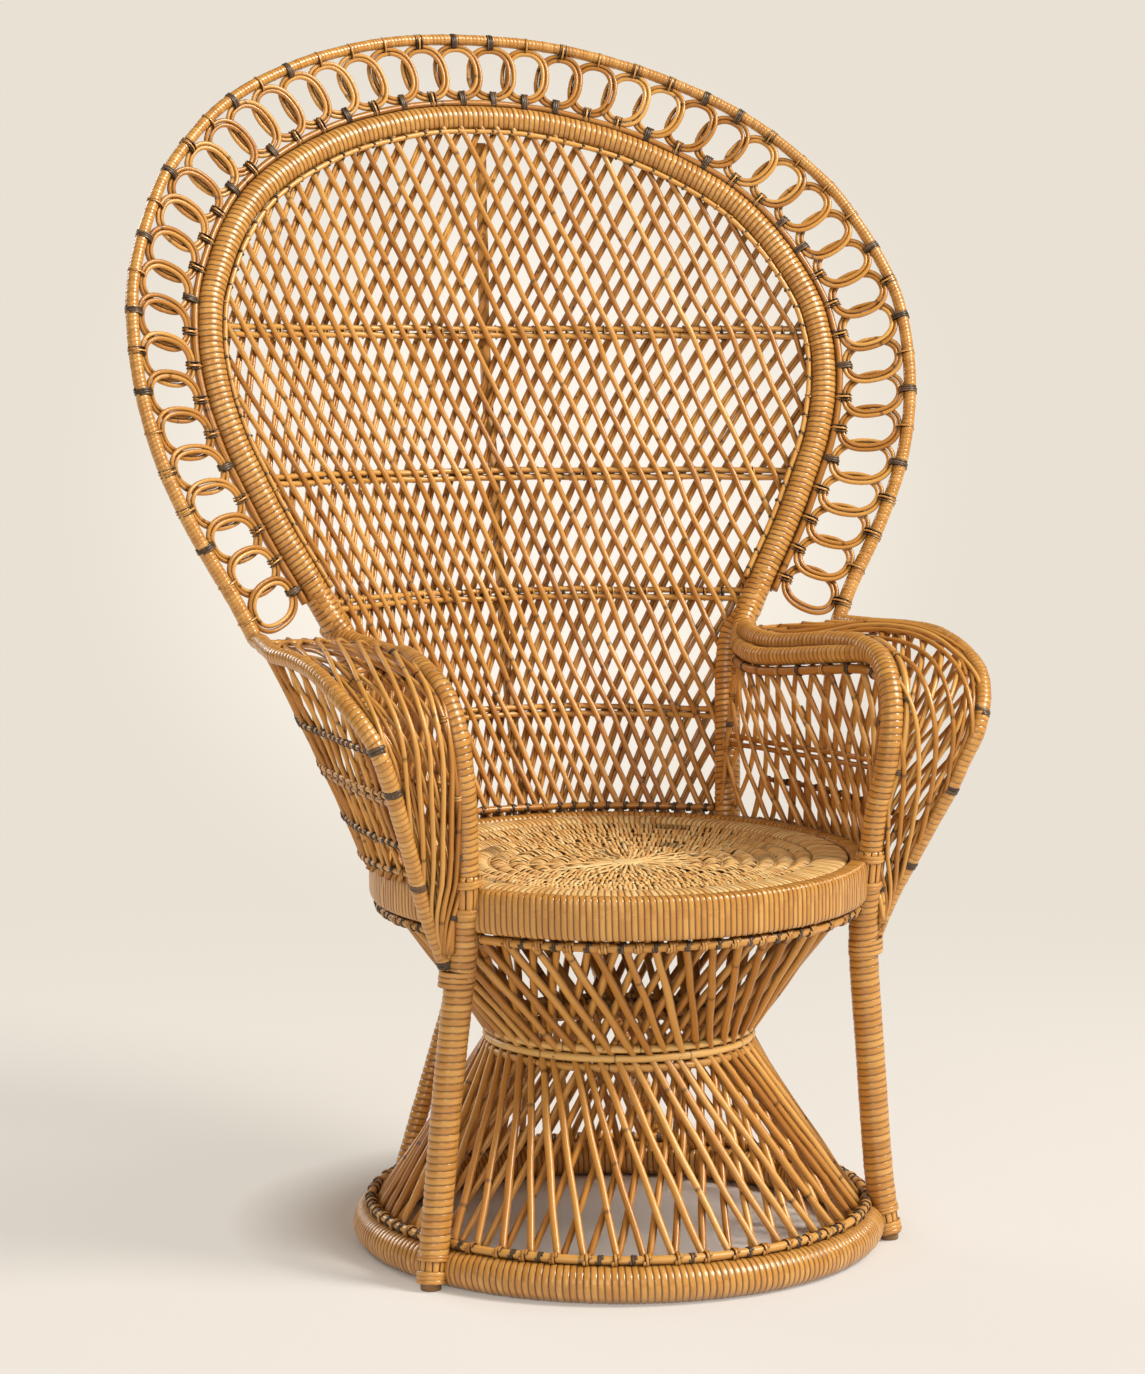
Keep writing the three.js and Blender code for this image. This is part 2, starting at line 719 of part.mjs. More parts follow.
// A ruled surface from one curve to another, set in at each end and bulging between
function ruled(low, high, lowInset, highInset, bulge) {
  const at = (u, v) => {
    const [a, b] = [low(u), high(u)];
    const length = a.distanceTo(b);
    return a.lerp(b, THREE.MathUtils.lerp(lowInset, length - highInset, v) / length);
  };
  return (u, v, w) => {
    const step = 0.01;
    const alongU = at(u + step, v).sub(at(u - step, v));
    const alongV = at(u, v + step).sub(at(u, v - step));
    const normal = alongU.cross(alongV).normalize();
    return at(u, v).addScaledVector(normal, w + bulge * 4 * v * (1 - v));
  };
}

// A lattice panel on a ruled surface, its size taken along and across its middle
function sidePanel(place, thickness) {
  let length = 0;
  let height = 0;
  const steps = 10;
  for (let i = 0; i < steps; i += 1) {
    length += place(i / steps, 0.5, 0).distanceTo(place((i + 1) / steps, 0.5, 0));
    height += place((i + 0.5) / steps, 0, 0).distanceTo(place((i + 0.5) / steps, 1, 0)) / steps;
  }
  const box = (edge) => {
    const [near, far] = [[], []];
    for (let i = 0; i <= steps; i += 1) {
      const x = THREE.MathUtils.lerp(edge, length - edge, i / steps);
      near.push(new THREE.Vector2(x, edge));
      far.unshift(new THREE.Vector2(x, height - edge));
    }
    return [...near, ...far];
  };
  const cell = length / Math.round(length / sideCell);
  const cells = diamonds(box(0), box(sideRib / 2), cell, sideCellHeight, sideRib);
  return plate(cells, thickness, (x, y, w) => place(x / length, y / height, w));
}

// A rod lying on one face of a side panel, stopping a little short of both ends
const rodEndShare = 0.07;

function panelRod(place, v, offset) {
  const points = [];
  const steps = 12;
  for (let i = 0; i <= steps; i += 1) {
    points.push(place(THREE.MathUtils.lerp(rodEndShare, 1 - rodEndShare, i / steps), v, offset));
  }
  return sweep(new THREE.CatmullRomCurve3(points), sideRodTube, rodSides, steps);
}

// Turns about the seat's axis where the side panels start behind the leg and stop at the post
function sideTurn(u, radius) {
  const front = Math.atan2(legTop.y, legTop.x) + (legRadius + 2 * clearance) / radius;
  const back = Math.atan2(postFoot.y, postFoot.x) - (postRadius + 2 * clearance) / radius;
  return THREE.MathUtils.lerp(front, back, u);
}

const armPanelShares = [0.9, 0.03];
const wingPanelShares = [0.83, 0.06];
const coverArmShares = [0.78, 0.03];
const coverWingShares = [0.74, 0.07];

function armPlace() {
  const low = (u) => around(armSeatRadius, sideTurn(u, armSeatRadius), seatHeight);
  const high = (u) => armCurve.getPointAt(THREE.MathUtils.lerp(...armPanelShares, u));
  return ruled(low, high, sideThickness / 2 + clearance, armTube + clearance, 0);
}

function sidePlace() {
  const low = (u) => around(sideSeatRadius, sideTurn(u, sideSeatRadius), seatHeight - sideSeatDrop);
  const high = (u) => wingCurve.getPointAt(THREE.MathUtils.lerp(...wingPanelShares, u));
  return ruled(low, high, 0, wingTube + clearance, 0);
}

function coverPlace(inset) {
  const low = (u) => armCurve.getPointAt(THREE.MathUtils.lerp(...coverArmShares, u));
  const high = (u) => wingCurve.getPointAt(THREE.MathUtils.lerp(...coverWingShares, u));
  return ruled(low, high, inset, wingTube + clearance, inset > armTube + 2 * sideRodTube ? -wingBulge : 0);
}

function sideNeighbours() {
  return [
    sweep(armCurve, armTube + clearance, roundSides, armSteps),
    sweep(wingCurve, wingTube + clearance, rodSides, wingSteps),
    sweep(underCurve(), underTube + clearance, rodSides, 16),
    frontLeg(1, clearance),
    backPost(1, clearance),
    innerHoop(clearance),
    outerHoop(clearance),
  ];
}

function armPanel(grow = 0) {
  const panel = sidePanel(armPlace(), sideThickness + 2 * grow);
  return without(panel, [...sideNeighbours(), seatRimRing(clearance)]);
}

function armPanelRod() {
  const offset = -(sideThickness / 2 + clearance + sideRodTube);
  return without(panelRod(armPlace(), 0.5, offset), [armPanel(clearance), ...sideNeighbours()]);
}

function outerPanel(grow = 0) {
  const panel = sidePanel(sidePlace(), sideThickness + 2 * grow);
  return without(panel, [...sideNeighbours(), seatRimRing(clearance)]);
}

function outerPanelRod() {
  const offset = sideThickness / 2 + clearance + sideRodTube;
  const panels = [outerPanel(clearance), wingCover(clearance)];
  return without(panelRod(sidePlace(), 0.5, offset), [...panels, ...sideNeighbours()]);
}

function wingCover(grow = 0) {
  const panel = sidePanel(coverPlace(armTube + 2 * sideRodTube + 8 * clearance), sideThickness + 2 * grow);
  return without(panel, [...sideNeighbours(), outerPanel(clearance)]);
}

function wingLashRod() {
  const rod = panelRod(coverPlace(armTube + sideRodTube + 2 * clearance), 0, 0);
  return without(rod, [wingCover(clearance), ...sideNeighbours()]);
}

// The finishes: smooth wrapped cane, bare cane, darkened cane and a wooden foot
const wrapFinish = { color: "#c98b45", roughness: 0.5, metalness: 0 };
const caneFinish = { color: "#b97c3a", roughness: 0.6, metalness: 0 };
const darkFinish = { color: "#7d5228", roughness: 0.7, metalness: 0 };
const footFinish = { color: "#8a6234", roughness: 0.8, metalness: 0 };

// The assembly
const chair = new THREE.Group();

function add(name, piece, finish, side = 1) {
  const made = piece.getMesh();
  const geometry = new THREE.BufferGeometry();
  geometry.setAttribute("position", new THREE.BufferAttribute(made.vertProperties, 3));
  geometry.setIndex(new THREE.BufferAttribute(made.triVerts, 1));
  geometry.computeVertexNormals();
  const mesh = new THREE.Mesh(geometry, new THREE.MeshStandardMaterial(finish));
  mesh.name = name;
  mesh.scale.x = side;
  chair.add(mesh);
}

// The right piece and its mirror image
function addPair(name, piece, finish) {
  add(name + "_right", piece, finish);
  add(name + "_left", piece, finish, -1);
}

add("base_ring", notchedBaseRing(), wrapFinish);
add("base_lash_ring", baseLashRing(), caneFinish);
add("lower_stakes", lowerStakes(), caneFinish);
add("waist_hoop_lower", waistHoop(-1), caneFinish);
add("waist_hoop_middle", waistHoop(0), caneFinish);
add("waist_hoop_upper", waistHoop(1), caneFinish);
add("upper_stakes", upperStakes(), caneFinish);
add("seat_lash_ring", seatLashRing(), caneFinish);
add("seat_rim", seatRim(), wrapFinish);
add("seat_panel", seatPanel(), caneFinish);
add("seat_brace_front", seatBrace(-1), darkFinish);
add("seat_brace_back", seatBrace(1), darkFinish);
add("inner_hoop", innerHoop(), wrapFinish);
add("outer_hoop", outerHoop(), wrapFinish);
add("hoop_lash_rod", hoopLashRod(), caneFinish);
add("ring_garland", ringGarland(), caneFinish);
add("back_net", backNet(), caneFinish);
backRodHeights.forEach((height, i) => add("back_rod_" + (i + 1), backRod(height), caneFinish));
add("back_bottom_rod", backBottomRod(), caneFinish);
add("back_slat", backSlat(), darkFinish);
addPair("front_leg", frontLeg(1), wrapFinish);
addPair("front_foot_plug", footPlug(legFoot, plugRadius), footFinish);
addPair("rear_leg", rearLeg(), wrapFinish);
addPair("rear_foot_plug", footPlug(rearLegFoot, rearPlugRadius), footFinish);
addPair("back_post", joinedPost(), wrapFinish);
addPair("arm_rail", armRail(), wrapFinish);
addPair("arm_under_rail", armUnderRail(), wrapFinish);
addPair("wing_rail", wingRail(), wrapFinish);
addPair("arm_panel", armPanel(), caneFinish);
addPair("arm_panel_rod", armPanelRod(), caneFinish);
addPair("side_panel", outerPanel(), caneFinish);
addPair("side_panel_rod", outerPanelRod(), caneFinish);
addPair("wing_cover", wingCover(), caneFinish);
addPair("wing_lash_rod", wingLashRod(), caneFinish);

// The frame's origin is under the middle of the whole chair
chair.updateMatrixWorld(true);
const reach = new THREE.Box3().setFromObject(chair, true);
const middle = reach.getCenter(new THREE.Vector3());
chair.position.set(-middle.x, -middle.y, -reach.min.z);

export default chair;
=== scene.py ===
import math

import bpy
import numpy as np
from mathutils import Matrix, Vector


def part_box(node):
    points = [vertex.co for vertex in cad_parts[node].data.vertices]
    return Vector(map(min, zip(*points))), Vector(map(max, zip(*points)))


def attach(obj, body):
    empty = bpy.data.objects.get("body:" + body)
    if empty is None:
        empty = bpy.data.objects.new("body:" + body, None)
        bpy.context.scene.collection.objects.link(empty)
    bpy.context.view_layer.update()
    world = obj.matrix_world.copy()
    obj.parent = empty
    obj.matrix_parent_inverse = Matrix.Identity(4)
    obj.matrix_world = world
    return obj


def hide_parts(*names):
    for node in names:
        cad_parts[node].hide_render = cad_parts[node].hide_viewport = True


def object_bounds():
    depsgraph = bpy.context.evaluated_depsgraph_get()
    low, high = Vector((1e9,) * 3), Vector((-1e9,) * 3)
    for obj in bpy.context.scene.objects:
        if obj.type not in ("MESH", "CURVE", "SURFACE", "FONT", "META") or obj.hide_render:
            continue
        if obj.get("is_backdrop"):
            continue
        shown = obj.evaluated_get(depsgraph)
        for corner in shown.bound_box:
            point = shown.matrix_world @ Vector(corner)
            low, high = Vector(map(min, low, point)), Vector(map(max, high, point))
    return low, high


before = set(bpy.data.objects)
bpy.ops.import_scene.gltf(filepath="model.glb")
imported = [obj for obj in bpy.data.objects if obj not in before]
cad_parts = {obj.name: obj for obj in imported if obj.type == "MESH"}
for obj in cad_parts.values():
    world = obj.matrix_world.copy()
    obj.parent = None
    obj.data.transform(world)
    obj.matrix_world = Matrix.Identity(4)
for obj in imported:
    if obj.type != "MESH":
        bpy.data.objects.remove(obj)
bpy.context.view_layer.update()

print("frame loaded,", len(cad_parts), "nodes")

# Sizes below are in millimetres from the seat's axis on the floor: X right, Y back, Z up.
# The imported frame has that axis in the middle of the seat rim.
rimLow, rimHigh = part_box("seat_rim")
seatAxis = np.array([(rimLow.x + rimHigh.x) / 2, (rimLow.y + rimHigh.y) / 2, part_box("base_ring")[0].z])
millimetre = 0.001
hand = np.random.default_rng(46)  # the unevenness of handwork
handed = (("left", -1), ("right", 1))  # pieces are laid out for the right half, and mirrored for the left


def unit(vectors):
    return vectors / np.maximum(np.linalg.norm(vectors, axis=-1, keepdims=True), 1e-12)


def lengthsAlong(path):
    return np.concatenate([[0], np.cumsum(np.linalg.norm(np.diff(path, axis=0), axis=1))])


def evenly(path, step):
    path = np.asarray(path, float)
    along = lengthsAlong(path)
    places = np.linspace(0, along[-1], max(2, round(along[-1] / step) + 1))
    return np.stack([np.interp(places, along, path[:, k]) for k in range(path.shape[1])], 1)


def smoothLine(points, step=6.0, fine=12):
    # a smooth curve through given points, then points at an even step along it
    p = np.asarray(points, float)
    p = np.vstack([2 * p[0] - p[1], p, 2 * p[-1] - p[-2]])
    made = []
    for a, b, c, d in zip(p[:-3], p[1:-2], p[2:-1], p[3:]):
        ab, bc, cd = (max(np.linalg.norm(w) ** 0.5, 1e-6) for w in (b - a, c - b, d - c))
        out = bc * ((b - a) / ab - (c - a) / (ab + bc) + (c - b) / bc)
        into = bc * ((c - b) / bc - (d - b) / (bc + cd) + (d - c) / cd)
        t = np.linspace(0, 1, fine, endpoint=False)[:, None]
        made.append(
            (2 * t**3 - 3 * t**2 + 1) * b + (t**3 - 2 * t**2 + t) * out
            + (3 * t**2 - 2 * t**3) * c + (t**3 - t**2) * into
        )
    return evenly(np.vstack([*made, p[-2][None]]), step)


def circle(radius, height, count=360):
    turn = np.linspace(0, 2 * math.pi, count, endpoint=False)
    return np.stack([radius * np.cos(turn), radius * np.sin(turn), np.full(count, height)], 1)


def mirrored(path, side):
    return np.asarray(path, float) * [side, 1, 1]


def placeOn(path, share):
    # the point at a share of a path's length, and the path's direction there
    along = lengthsAlong(path)
    at, ahead, behind = (
        np.array([np.interp(s * along[-1], along, path[:, k]) for k in range(3)])
        for s in (share, min(1, share + 0.004), max(0, share - 0.004))
    )
    return at, unit(ahead - behind)


def framesAlong(path, facing=None, closed=False):
    # directions along, out and across at each point; facing is the way that out turns
    if closed:
        tangent = unit(np.roll(path, -1, 0) - np.roll(path, 1, 0))
    else:
        tangent = unit(np.gradient(path, axis=0))
    if facing is not None:
        facing = np.broadcast_to(np.asarray(facing, float), path.shape)
        out = unit(facing - (facing * tangent).sum(1, keepdims=True) * tangent)
    else:
        start = np.eye(3)[np.argmin(np.abs(tangent[0]))]
        out = np.empty_like(path)
        for i, t in enumerate(tangent):
            start = start - (start @ t) * t
            start = start / np.linalg.norm(start)
            out[i] = start
    return tangent, out, np.cross(tangent, out)


def rounding(turn, power):
    # cosine and sine of a turn, bent towards a squarer loop by a power below 1
    return [np.sign(w) * np.abs(w) ** power for w in (np.cos(turn), np.sin(turn))]


# How a bare cane wavers to each side along its length, and how it swells
growth = dict(waves=((37, 16), (41, 19)), swell=0.04, swellLength=23)


def rod(path, radius, wide=None, sides=8, facing=None, closed=False, wobble=0.0, tone=None):
    # one bare cane along a path: points, four-sided faces, caps, and the grain that its finish reads
    path = np.array(path, float)
    tangent, out, across = framesAlong(path, facing, closed)
    along = lengthsAlong(path)
    if wobble:
        phases = hand.uniform(0, 2 * math.pi, (2, 2))
        for way, (slow, quick), (first, second) in zip((out, across), growth["waves"], phases):
            waver = np.sin(along / slow + first) + np.sin(along / quick + second)
            path += wobble * way * waver[:, None] / 2
    swell = 1 + growth["swell"] * np.sin(along / growth["swellLength"] + hand.uniform(0, 6))
    thick = np.broadcast_to(radius, along.shape) * swell
    wide = thick if wide is None else np.broadcast_to(wide, along.shape) * swell
    turn = np.linspace(0, 2 * math.pi, sides, endpoint=False)
    ring = (
        path[:, None]
        + (thick[:, None] * np.cos(turn))[..., None] * out[:, None]
        + (wide[:, None] * np.sin(turn))[..., None] * across[:, None]
    )
    count = len(path)
    tone = hand.random() if tone is None else tone
    grain = np.zeros((count, sides, 4))
    grain[..., 0] = (along + hand.uniform(0, 900))[:, None] * millimetre
    grain[..., 1] = turn * np.mean(thick) * millimetre
    grain[..., 2] = tone
    index = np.arange(count * sides).reshape(count, sides)
    ahead = np.roll(index, -1, 0) if closed else index[1:]
    here = index if closed else index[:-1]
    quads = np.stack([here, np.roll(here, -1, 1), np.roll(ahead, -1, 1), ahead], -1).reshape(-1, 4)
    points, grain = ring.reshape(-1, 3), grain.reshape(-1, 4)
    if closed:
        return points, quads, np.zeros((0, 3), int), grain
    points = np.vstack([points, path[0], path[-1]])
    grain = np.vstack([grain, grain[0], grain[-1]])
    first, last = count * sides, count * sides + 1
    caps = [(first, index[0][(i + 1) % sides], index[0][i]) for i in range(sides)]
    caps += [(last, index[-1][i], index[-1][(i + 1) % sides]) for i in range(sides)]
    return points, quads, np.array(caps), grain


# A wound strip's section: places across it, its rise there and the painted shade in its groove and along its
# edges
stripShares = np.array([0, 0.075, 0.24, 0.5, 0.76, 0.925])
stripRise = np.array([-1, 0, 0.7, 1, 0.7, 0])
stripShade = np.array([1, 0.5, 0.04, 0, 0.04, 0.5])


def wound(path, radius, strip, wide=None, sides=16, facing=None, closed=False, square=1.0, groove=0.8,
          crown=0.4, darkening=1.0):
    # a pole wound with one flat strip of cane, turn beside turn, with a groove between turns
    path = np.array(path, float)
    tangent, out, across = framesAlong(path, facing, closed)
    if closed:
        path, out, across = (np.vstack([a, a[:1]]) for a in (path, out, across))
    along = lengthsAlong(path)
    turns = max(2, round(along[-1] / strip))
    pitch = along[-1] / turns
    perTurn = len(stripShares)
    count = turns * perTurn if closed else (turns - 1) * perTurn + 1
    row = np.arange(count)
    offset = row // perTurn + stripShares[row % perTurn]
    spin = np.arange(sides) / sides
    place = (offset[:, None] + spin) * pitch
    if closed:
        place = place % along[-1]
    turnTone = hand.random(turns + 1)
    turnLift = hand.normal(0, 0.12, turns + 1)
    rise = stripRise[row % perTurn]
    lift = np.where(rise < 0, groove, crown) * rise + turnLift[row // perTurn]

    def sampled(values):
        return np.stack([np.interp(place, along, values[:, k]) for k in range(3)], -1)

    def halfWidth(size):
        return np.interp(place, along, np.broadcast_to(size, along.shape)) + lift[:, None]

    centre, outward, sideways = sampled(path), unit(sampled(out)), unit(sampled(across))
    thick = halfWidth(radius)
    broad = thick if wide is None else halfWidth(wide)
    c, s = rounding(2 * math.pi * spin, square)
    ring = centre + (thick * c)[..., None] * outward + (broad * s)[..., None] * sideways
    grain = np.zeros((count, sides, 4))
    girth = 2 * math.pi * float(np.mean(thick))
    grain[..., 0] = ((row // perTurn)[:, None] + spin) * girth * millimetre
    grain[..., 1] = (offset * pitch * millimetre)[:, None]
    grain[..., 2] = turnTone[row // perTurn][:, None]
    # painted shade in each groove between turns and along the strip's edges, which the finish darkens towards
    # its darkest colour
    grain[..., 3] = darkening * stripShade[row % perTurn][:, None]
    index = np.arange(count * sides).reshape(count, sides)
    if closed:
        looped = np.hstack([index, np.roll(index, -perTurn, 0)[:, :1]])
        ahead = np.roll(looped, -1, 0)
        quads = np.stack([looped[:, :-1], looped[:, 1:], ahead[:, 1:], ahead[:, :-1]], -1).reshape(-1, 4)
        return ring.reshape(-1, 3), quads, np.zeros((0, 3), int), grain.reshape(-1, 4)
    body = np.stack([index[:-1, :-1], index[:-1, 1:], index[1:, 1:], index[1:, :-1]], -1).reshape(-1, 4)
    low = count - perTurn - 1
    seam = np.stack(
        [index[:low, -1], index[perTurn:perTurn + low, 0], index[perTurn + 1:perTurn + 1 + low, 0],
         index[1:low + 1, -1]], -1
    )
    quads = np.vstack([body, seam])
    firstLoop = [*index[0], *index[perTurn:0:-1, 0]]
    lastLoop = [*index[-1], *index[-2:-2 - perTurn:-1, -1]]
    points = np.vstack([ring.reshape(-1, 3), path[0], path[-1]])
    grain = np.vstack([grain.reshape(-1, 4), grain[0, 0], grain[-1, -1]])
    first, last = count * sides, count * sides + 1
    caps = [(first, b, a) for a, b in zip(firstLoop, firstLoop[1:] + firstLoop[:1])]
    caps += [(last, a, b) for a, b in zip(lastLoop, lastLoop[1:] + lastLoop[:1])]
    return points, quads, np.array(caps), grain


def band(centre, along, facing, thick, wide, turns=3, strip=3.2, sides=12):
    # a few turns of binding cane round a bundle of rods
    half = turns * strip / 2
    path = np.linspace(centre - half * along, centre + half * along, 4)
    return wound(path, thick, strip, wide=wide, sides=sides, facing=facing, groove=0.5, crown=0.3)


def rounded(radius, low, high, centre=(0, 0), edge=1.0, sides=24):
    # an upright turned plug with rounded edges
    x, y = centre
    heights = [low, low + 0.3 * edge, low + edge, high - edge, high - 0.3 * edge, high]
    radii = [radius - edge, radius - 0.3 * edge, radius, radius, radius - 0.3 * edge, radius - edge]
    return rod([(x, y, z) for z in heights], radii, sides=sides, facing=(1, 0, 0))


def makePiece(name, parts, finish, nodes=()):
    # one object from its parts; a finish is a material and the record's slot for it
    material, slotName = finish
    starts = np.concatenate([[0], np.cumsum([len(p[0]) for p in parts])[:-1]]).astype(int)
    points = np.concatenate([p[0] for p in parts]) * millimetre + seatAxis
    quads = np.concatenate([p[1] + s for p, s in zip(parts, starts)])
    caps = np.concatenate([p[2] + s for p, s in zip(parts, starts) if len(p[2])] or [np.zeros((0, 3), int)])
    grain = np.concatenate([p[3] for p in parts]).astype(np.float32)
    mesh = bpy.data.meshes.new(name)
    mesh.vertices.add(len(points))
    mesh.vertices.foreach_set("co", points.astype(np.float32).ravel())
    mesh.loops.add(quads.size + caps.size)
    mesh.loops.foreach_set("vertex_index", np.concatenate([quads.ravel(), caps.ravel()]).astype(np.int32))
    mesh.polygons.add(len(quads) + len(caps))
    loopStarts = np.concatenate([np.arange(len(quads)) * 4, quads.size + np.arange(len(caps)) * 3])
    mesh.polygons.foreach_set("loop_start", loopStarts.astype(np.int32))
    mesh.polygons.foreach_set("use_smooth", np.ones(len(loopStarts), bool))
    mesh.update(calc_edges=True)
    mesh.attributes.new("grain", "FLOAT_VECTOR", "POINT").data.foreach_set("vector", grain[:, :3].ravel())
    mesh.attributes.new("grooveShadeAndStain", "FLOAT", "POINT").data.foreach_set("value", grain[:, 3].ravel())
    mesh.materials.append(material)
    piece = bpy.data.objects.new(name, mesh)
    bpy.context.scene.collection.objects.link(piece)
    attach(piece, "root")
    if nodes:
        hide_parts(*nodes)


# Finishes

def feed(node, inputs):
    # plain values, or other nodes' outputs, into a node's sockets
    for socket, value in inputs.items():
        if isinstance(value, bpy.types.NodeSocket):
            node.id_data.links.new(value, node.inputs[socket])
        else:
            node.inputs[socket].default_value = value


def addNode(tree, kind, inputs=None, **settings):
    node = tree.nodes.new("ShaderNode" + kind)
    for name, value in settings.items():
        setattr(node, name, value)
    feed(node, inputs or {})
    return node


def caneFinish(name, look):
    # streaks and patches along each cane, a tone of its own, painted shade in the grooves and crevices, the
    # seat mat's stains and dark rings at the knots
    material = bpy.data.materials.new(name)
    material.use_nodes = True
    tree = material.node_tree

    def calc(operation, first, second=0):
        return addNode(tree, "Math", {0: first, 1: second}, operation=operation).outputs[0]

    def noise(x, y, z, detail):
        place = addNode(tree, "CombineXYZ", {0: x, 1: y, 2: z}).outputs[0]
        return addNode(tree, "TexNoise", {"Vector": place, "Scale": 1, "Detail": detail}).outputs["Fac"]

    grain = addNode(tree, "Attribute", attribute_name="grain").outputs["Vector"]
    grooveShadeAndStain = addNode(tree, "Attribute", attribute_name="grooveShadeAndStain").outputs["Fac"]
    along, across, tone = addNode(tree, "SeparateXYZ", {0: grain}).outputs
    spread = calc("MULTIPLY", tone, look["toneSpread"])
    streaks = noise(calc("MULTIPLY", along, look["streakAlong"]),
                    calc("MULTIPLY", across, look["streakAcross"]), spread, 3)
    patches = noise(calc("MULTIPLY", along, look["patchAlong"]),
                    calc("MULTIPLY", across, look["patchAcross"]), spread, 2)
    shade = calc("ADD", calc("MULTIPLY", tone, look["toneShare"]),
                 calc("ADD", calc("MULTIPLY", patches, look["patchShare"]),
                      calc("MULTIPLY", streaks, look["streakShare"])))
    ramp = addNode(tree, "ValToRGB", {0: shade})
    low, high = ramp.color_ramp.elements
    low.color, high.color = (*look["deep"], 1), (*look["light"], 1)
    low.position, high.position = look["rampEnds"]
    ramp.color_ramp.elements.new(0.5).color = (*look["middle"], 1)
    # painted shade: the colour goes darker wherever ambient occlusion finds other parts close by
    crevice = addNode(tree, "AmbientOcclusion", {"Distance": look["creviceReach"]}, samples=4)
    creviceShade = calc("MULTIPLY", calc("SUBTRACT", 1, crevice.outputs["AO"]), look["creviceShadeShare"])
    darkening = calc("MAXIMUM", grooveShadeAndStain, creviceShade)
    if look["knotGap"]:
        shifted = calc("MULTIPLY", tone, look["knotSpread"])
        place = calc("FRACT", calc("ADD", calc("DIVIDE", along, look["knotGap"]), shifted))
        away = calc("ABSOLUTE", calc("SUBTRACT", place, 0.5))
        width = look["knotWidth"] / look["knotGap"]
        knot = calc("MAXIMUM", calc("SUBTRACT", width, away), 0)
        darkening = calc("MINIMUM", calc("ADD", darkening, calc("MULTIPLY", knot, look["knotDirt"] / width)), 1)
    mix = addNode(tree, "Mix", {"Factor": darkening, "A": ramp.outputs[0], "B": (*look["shadeAndStainColour"], 1)},
                  data_type="RGBA")
    smooth, dull = look["roughness"]
    rough = addNode(tree, "MapRange", {"Value": streaks, "To Min": smooth, "To Max": dull})
    bump = addNode(tree, "Bump", {"Strength": look["bump"], "Distance": look["bumpReach"], "Height": streaks})
    feed(tree.nodes["Principled BSDF"], {
        "Base Color": mix.outputs["Result"],
        "Roughness": rough.outputs[0],
        "Normal": bump.outputs[0],
        "Specular IOR Level": look["shine"],
        "Specular Tint": (*look["gloss"], 1),
        "Coat Weight": look["coat"],
        "Coat Roughness": look["coatRoughness"],
    })
    return material


# each look's darkest colour is what the painted shade in crevices and grooves, the mat's stains and the knots
# darken towards
wrapLook = dict(
    deep=(0.42, 0.155, 0.022), middle=(0.67, 0.305, 0.058), light=(0.86, 0.49, 0.135),
    shadeAndStainColour=(0.045, 0.012, 0.002), rampEnds=(0.18, 0.82), toneSpread=71, streakAlong=40, streakAcross=900,
    patchAlong=14, patchAcross=60, toneShare=0.2, patchShare=0.48, streakShare=0.32, knotGap=0, knotWidth=0,
    knotSpread=9, knotDirt=0.7, roughness=(0.24, 0.40), shine=0.7, gloss=(1, 0.93, 0.80), coat=0.4,
    coatRoughness=0.2, bump=0.35, bumpReach=0.0004, creviceReach=0.012, creviceShadeShare=0.8,
)
caneLook = dict(
    wrapLook, deep=(0.38, 0.135, 0.018), middle=(0.63, 0.28, 0.052), light=(0.84, 0.455, 0.12),
    streakAlong=14, streakAcross=1100, patchAlong=9, toneShare=0.45, patchShare=0.35, streakShare=0.2,
    knotGap=0.31, knotWidth=0.0035, shine=0.55, coat=0.2, creviceReach=0.011, creviceShadeShare=0.85,
)
weaveLook = dict(
    caneLook, deep=(0.66, 0.30, 0.075), middle=(0.95, 0.575, 0.205), light=(1.0, 0.765, 0.37), knotGap=0.23,
    knotWidth=0.004, roughness=(0.34, 0.55), creviceReach=0.006, creviceShadeShare=0.8,
)
waistLook = dict(
    weaveLook, deep=(0.50, 0.21, 0.035), middle=(0.78, 0.41, 0.105), light=(0.92, 0.58, 0.20), knotGap=0.085,
    knotWidth=0.0016, creviceReach=0.007, creviceShadeShare=1.0,
)
darkLook = dict(
    caneLook, deep=(0.028, 0.014, 0.008), middle=(0.085, 0.045, 0.022), light=(0.22, 0.125, 0.065),
    shadeAndStainColour=(0.01, 0.006, 0.003), knotGap=0, roughness=(0.35, 0.55),
)
woodLook = dict(
    caneLook, deep=(0.26, 0.14, 0.055), middle=(0.38, 0.22, 0.095), light=(0.50, 0.31, 0.15), knotGap=0,
    roughness=(0.55, 0.75), coat=0.0,
)
wrapCane = caneFinish("wrapped cane", wrapLook), "wrapped_cane"
bareCane = caneFinish("bare cane", caneLook), "bare_cane"
seatCane = caneFinish("seat weave", weaveLook), "woven_seat"
darkCane = caneFinish("dark binding", darkLook), "dark_cane"
footWood = caneFinish("foot wood", woodLook), "foot_wood"
waistCane = caneFinish("waist cane", waistLook), "wrapped_cane"
slatCane = wrapCane[0], "dark_cane"
print("finishes ready")


# The photograph's stand, in front and to the left
view = dict(azimuth=23.0, distance=3670.07, height=984.14, pitch=5.57, look=22.18, lens=86.08, sensor=36)
turn = math.radians(view["azimuth"])
stand = np.array([-math.sin(turn) * view["distance"], -math.cos(turn) * view["distance"], view["height"]])
stand = stand * millimetre + seatAxis


# The curves that everything hangs on, for the chair's right half

fan = dict(foot=39, rake=0.3124, curl=4.63e-4, middle=950)  # the hoops' sheet, raked back, curled forward


def hoopDepth(x, z):
    return fan["foot"] + fan["rake"] * z - fan["curl"] * x * x


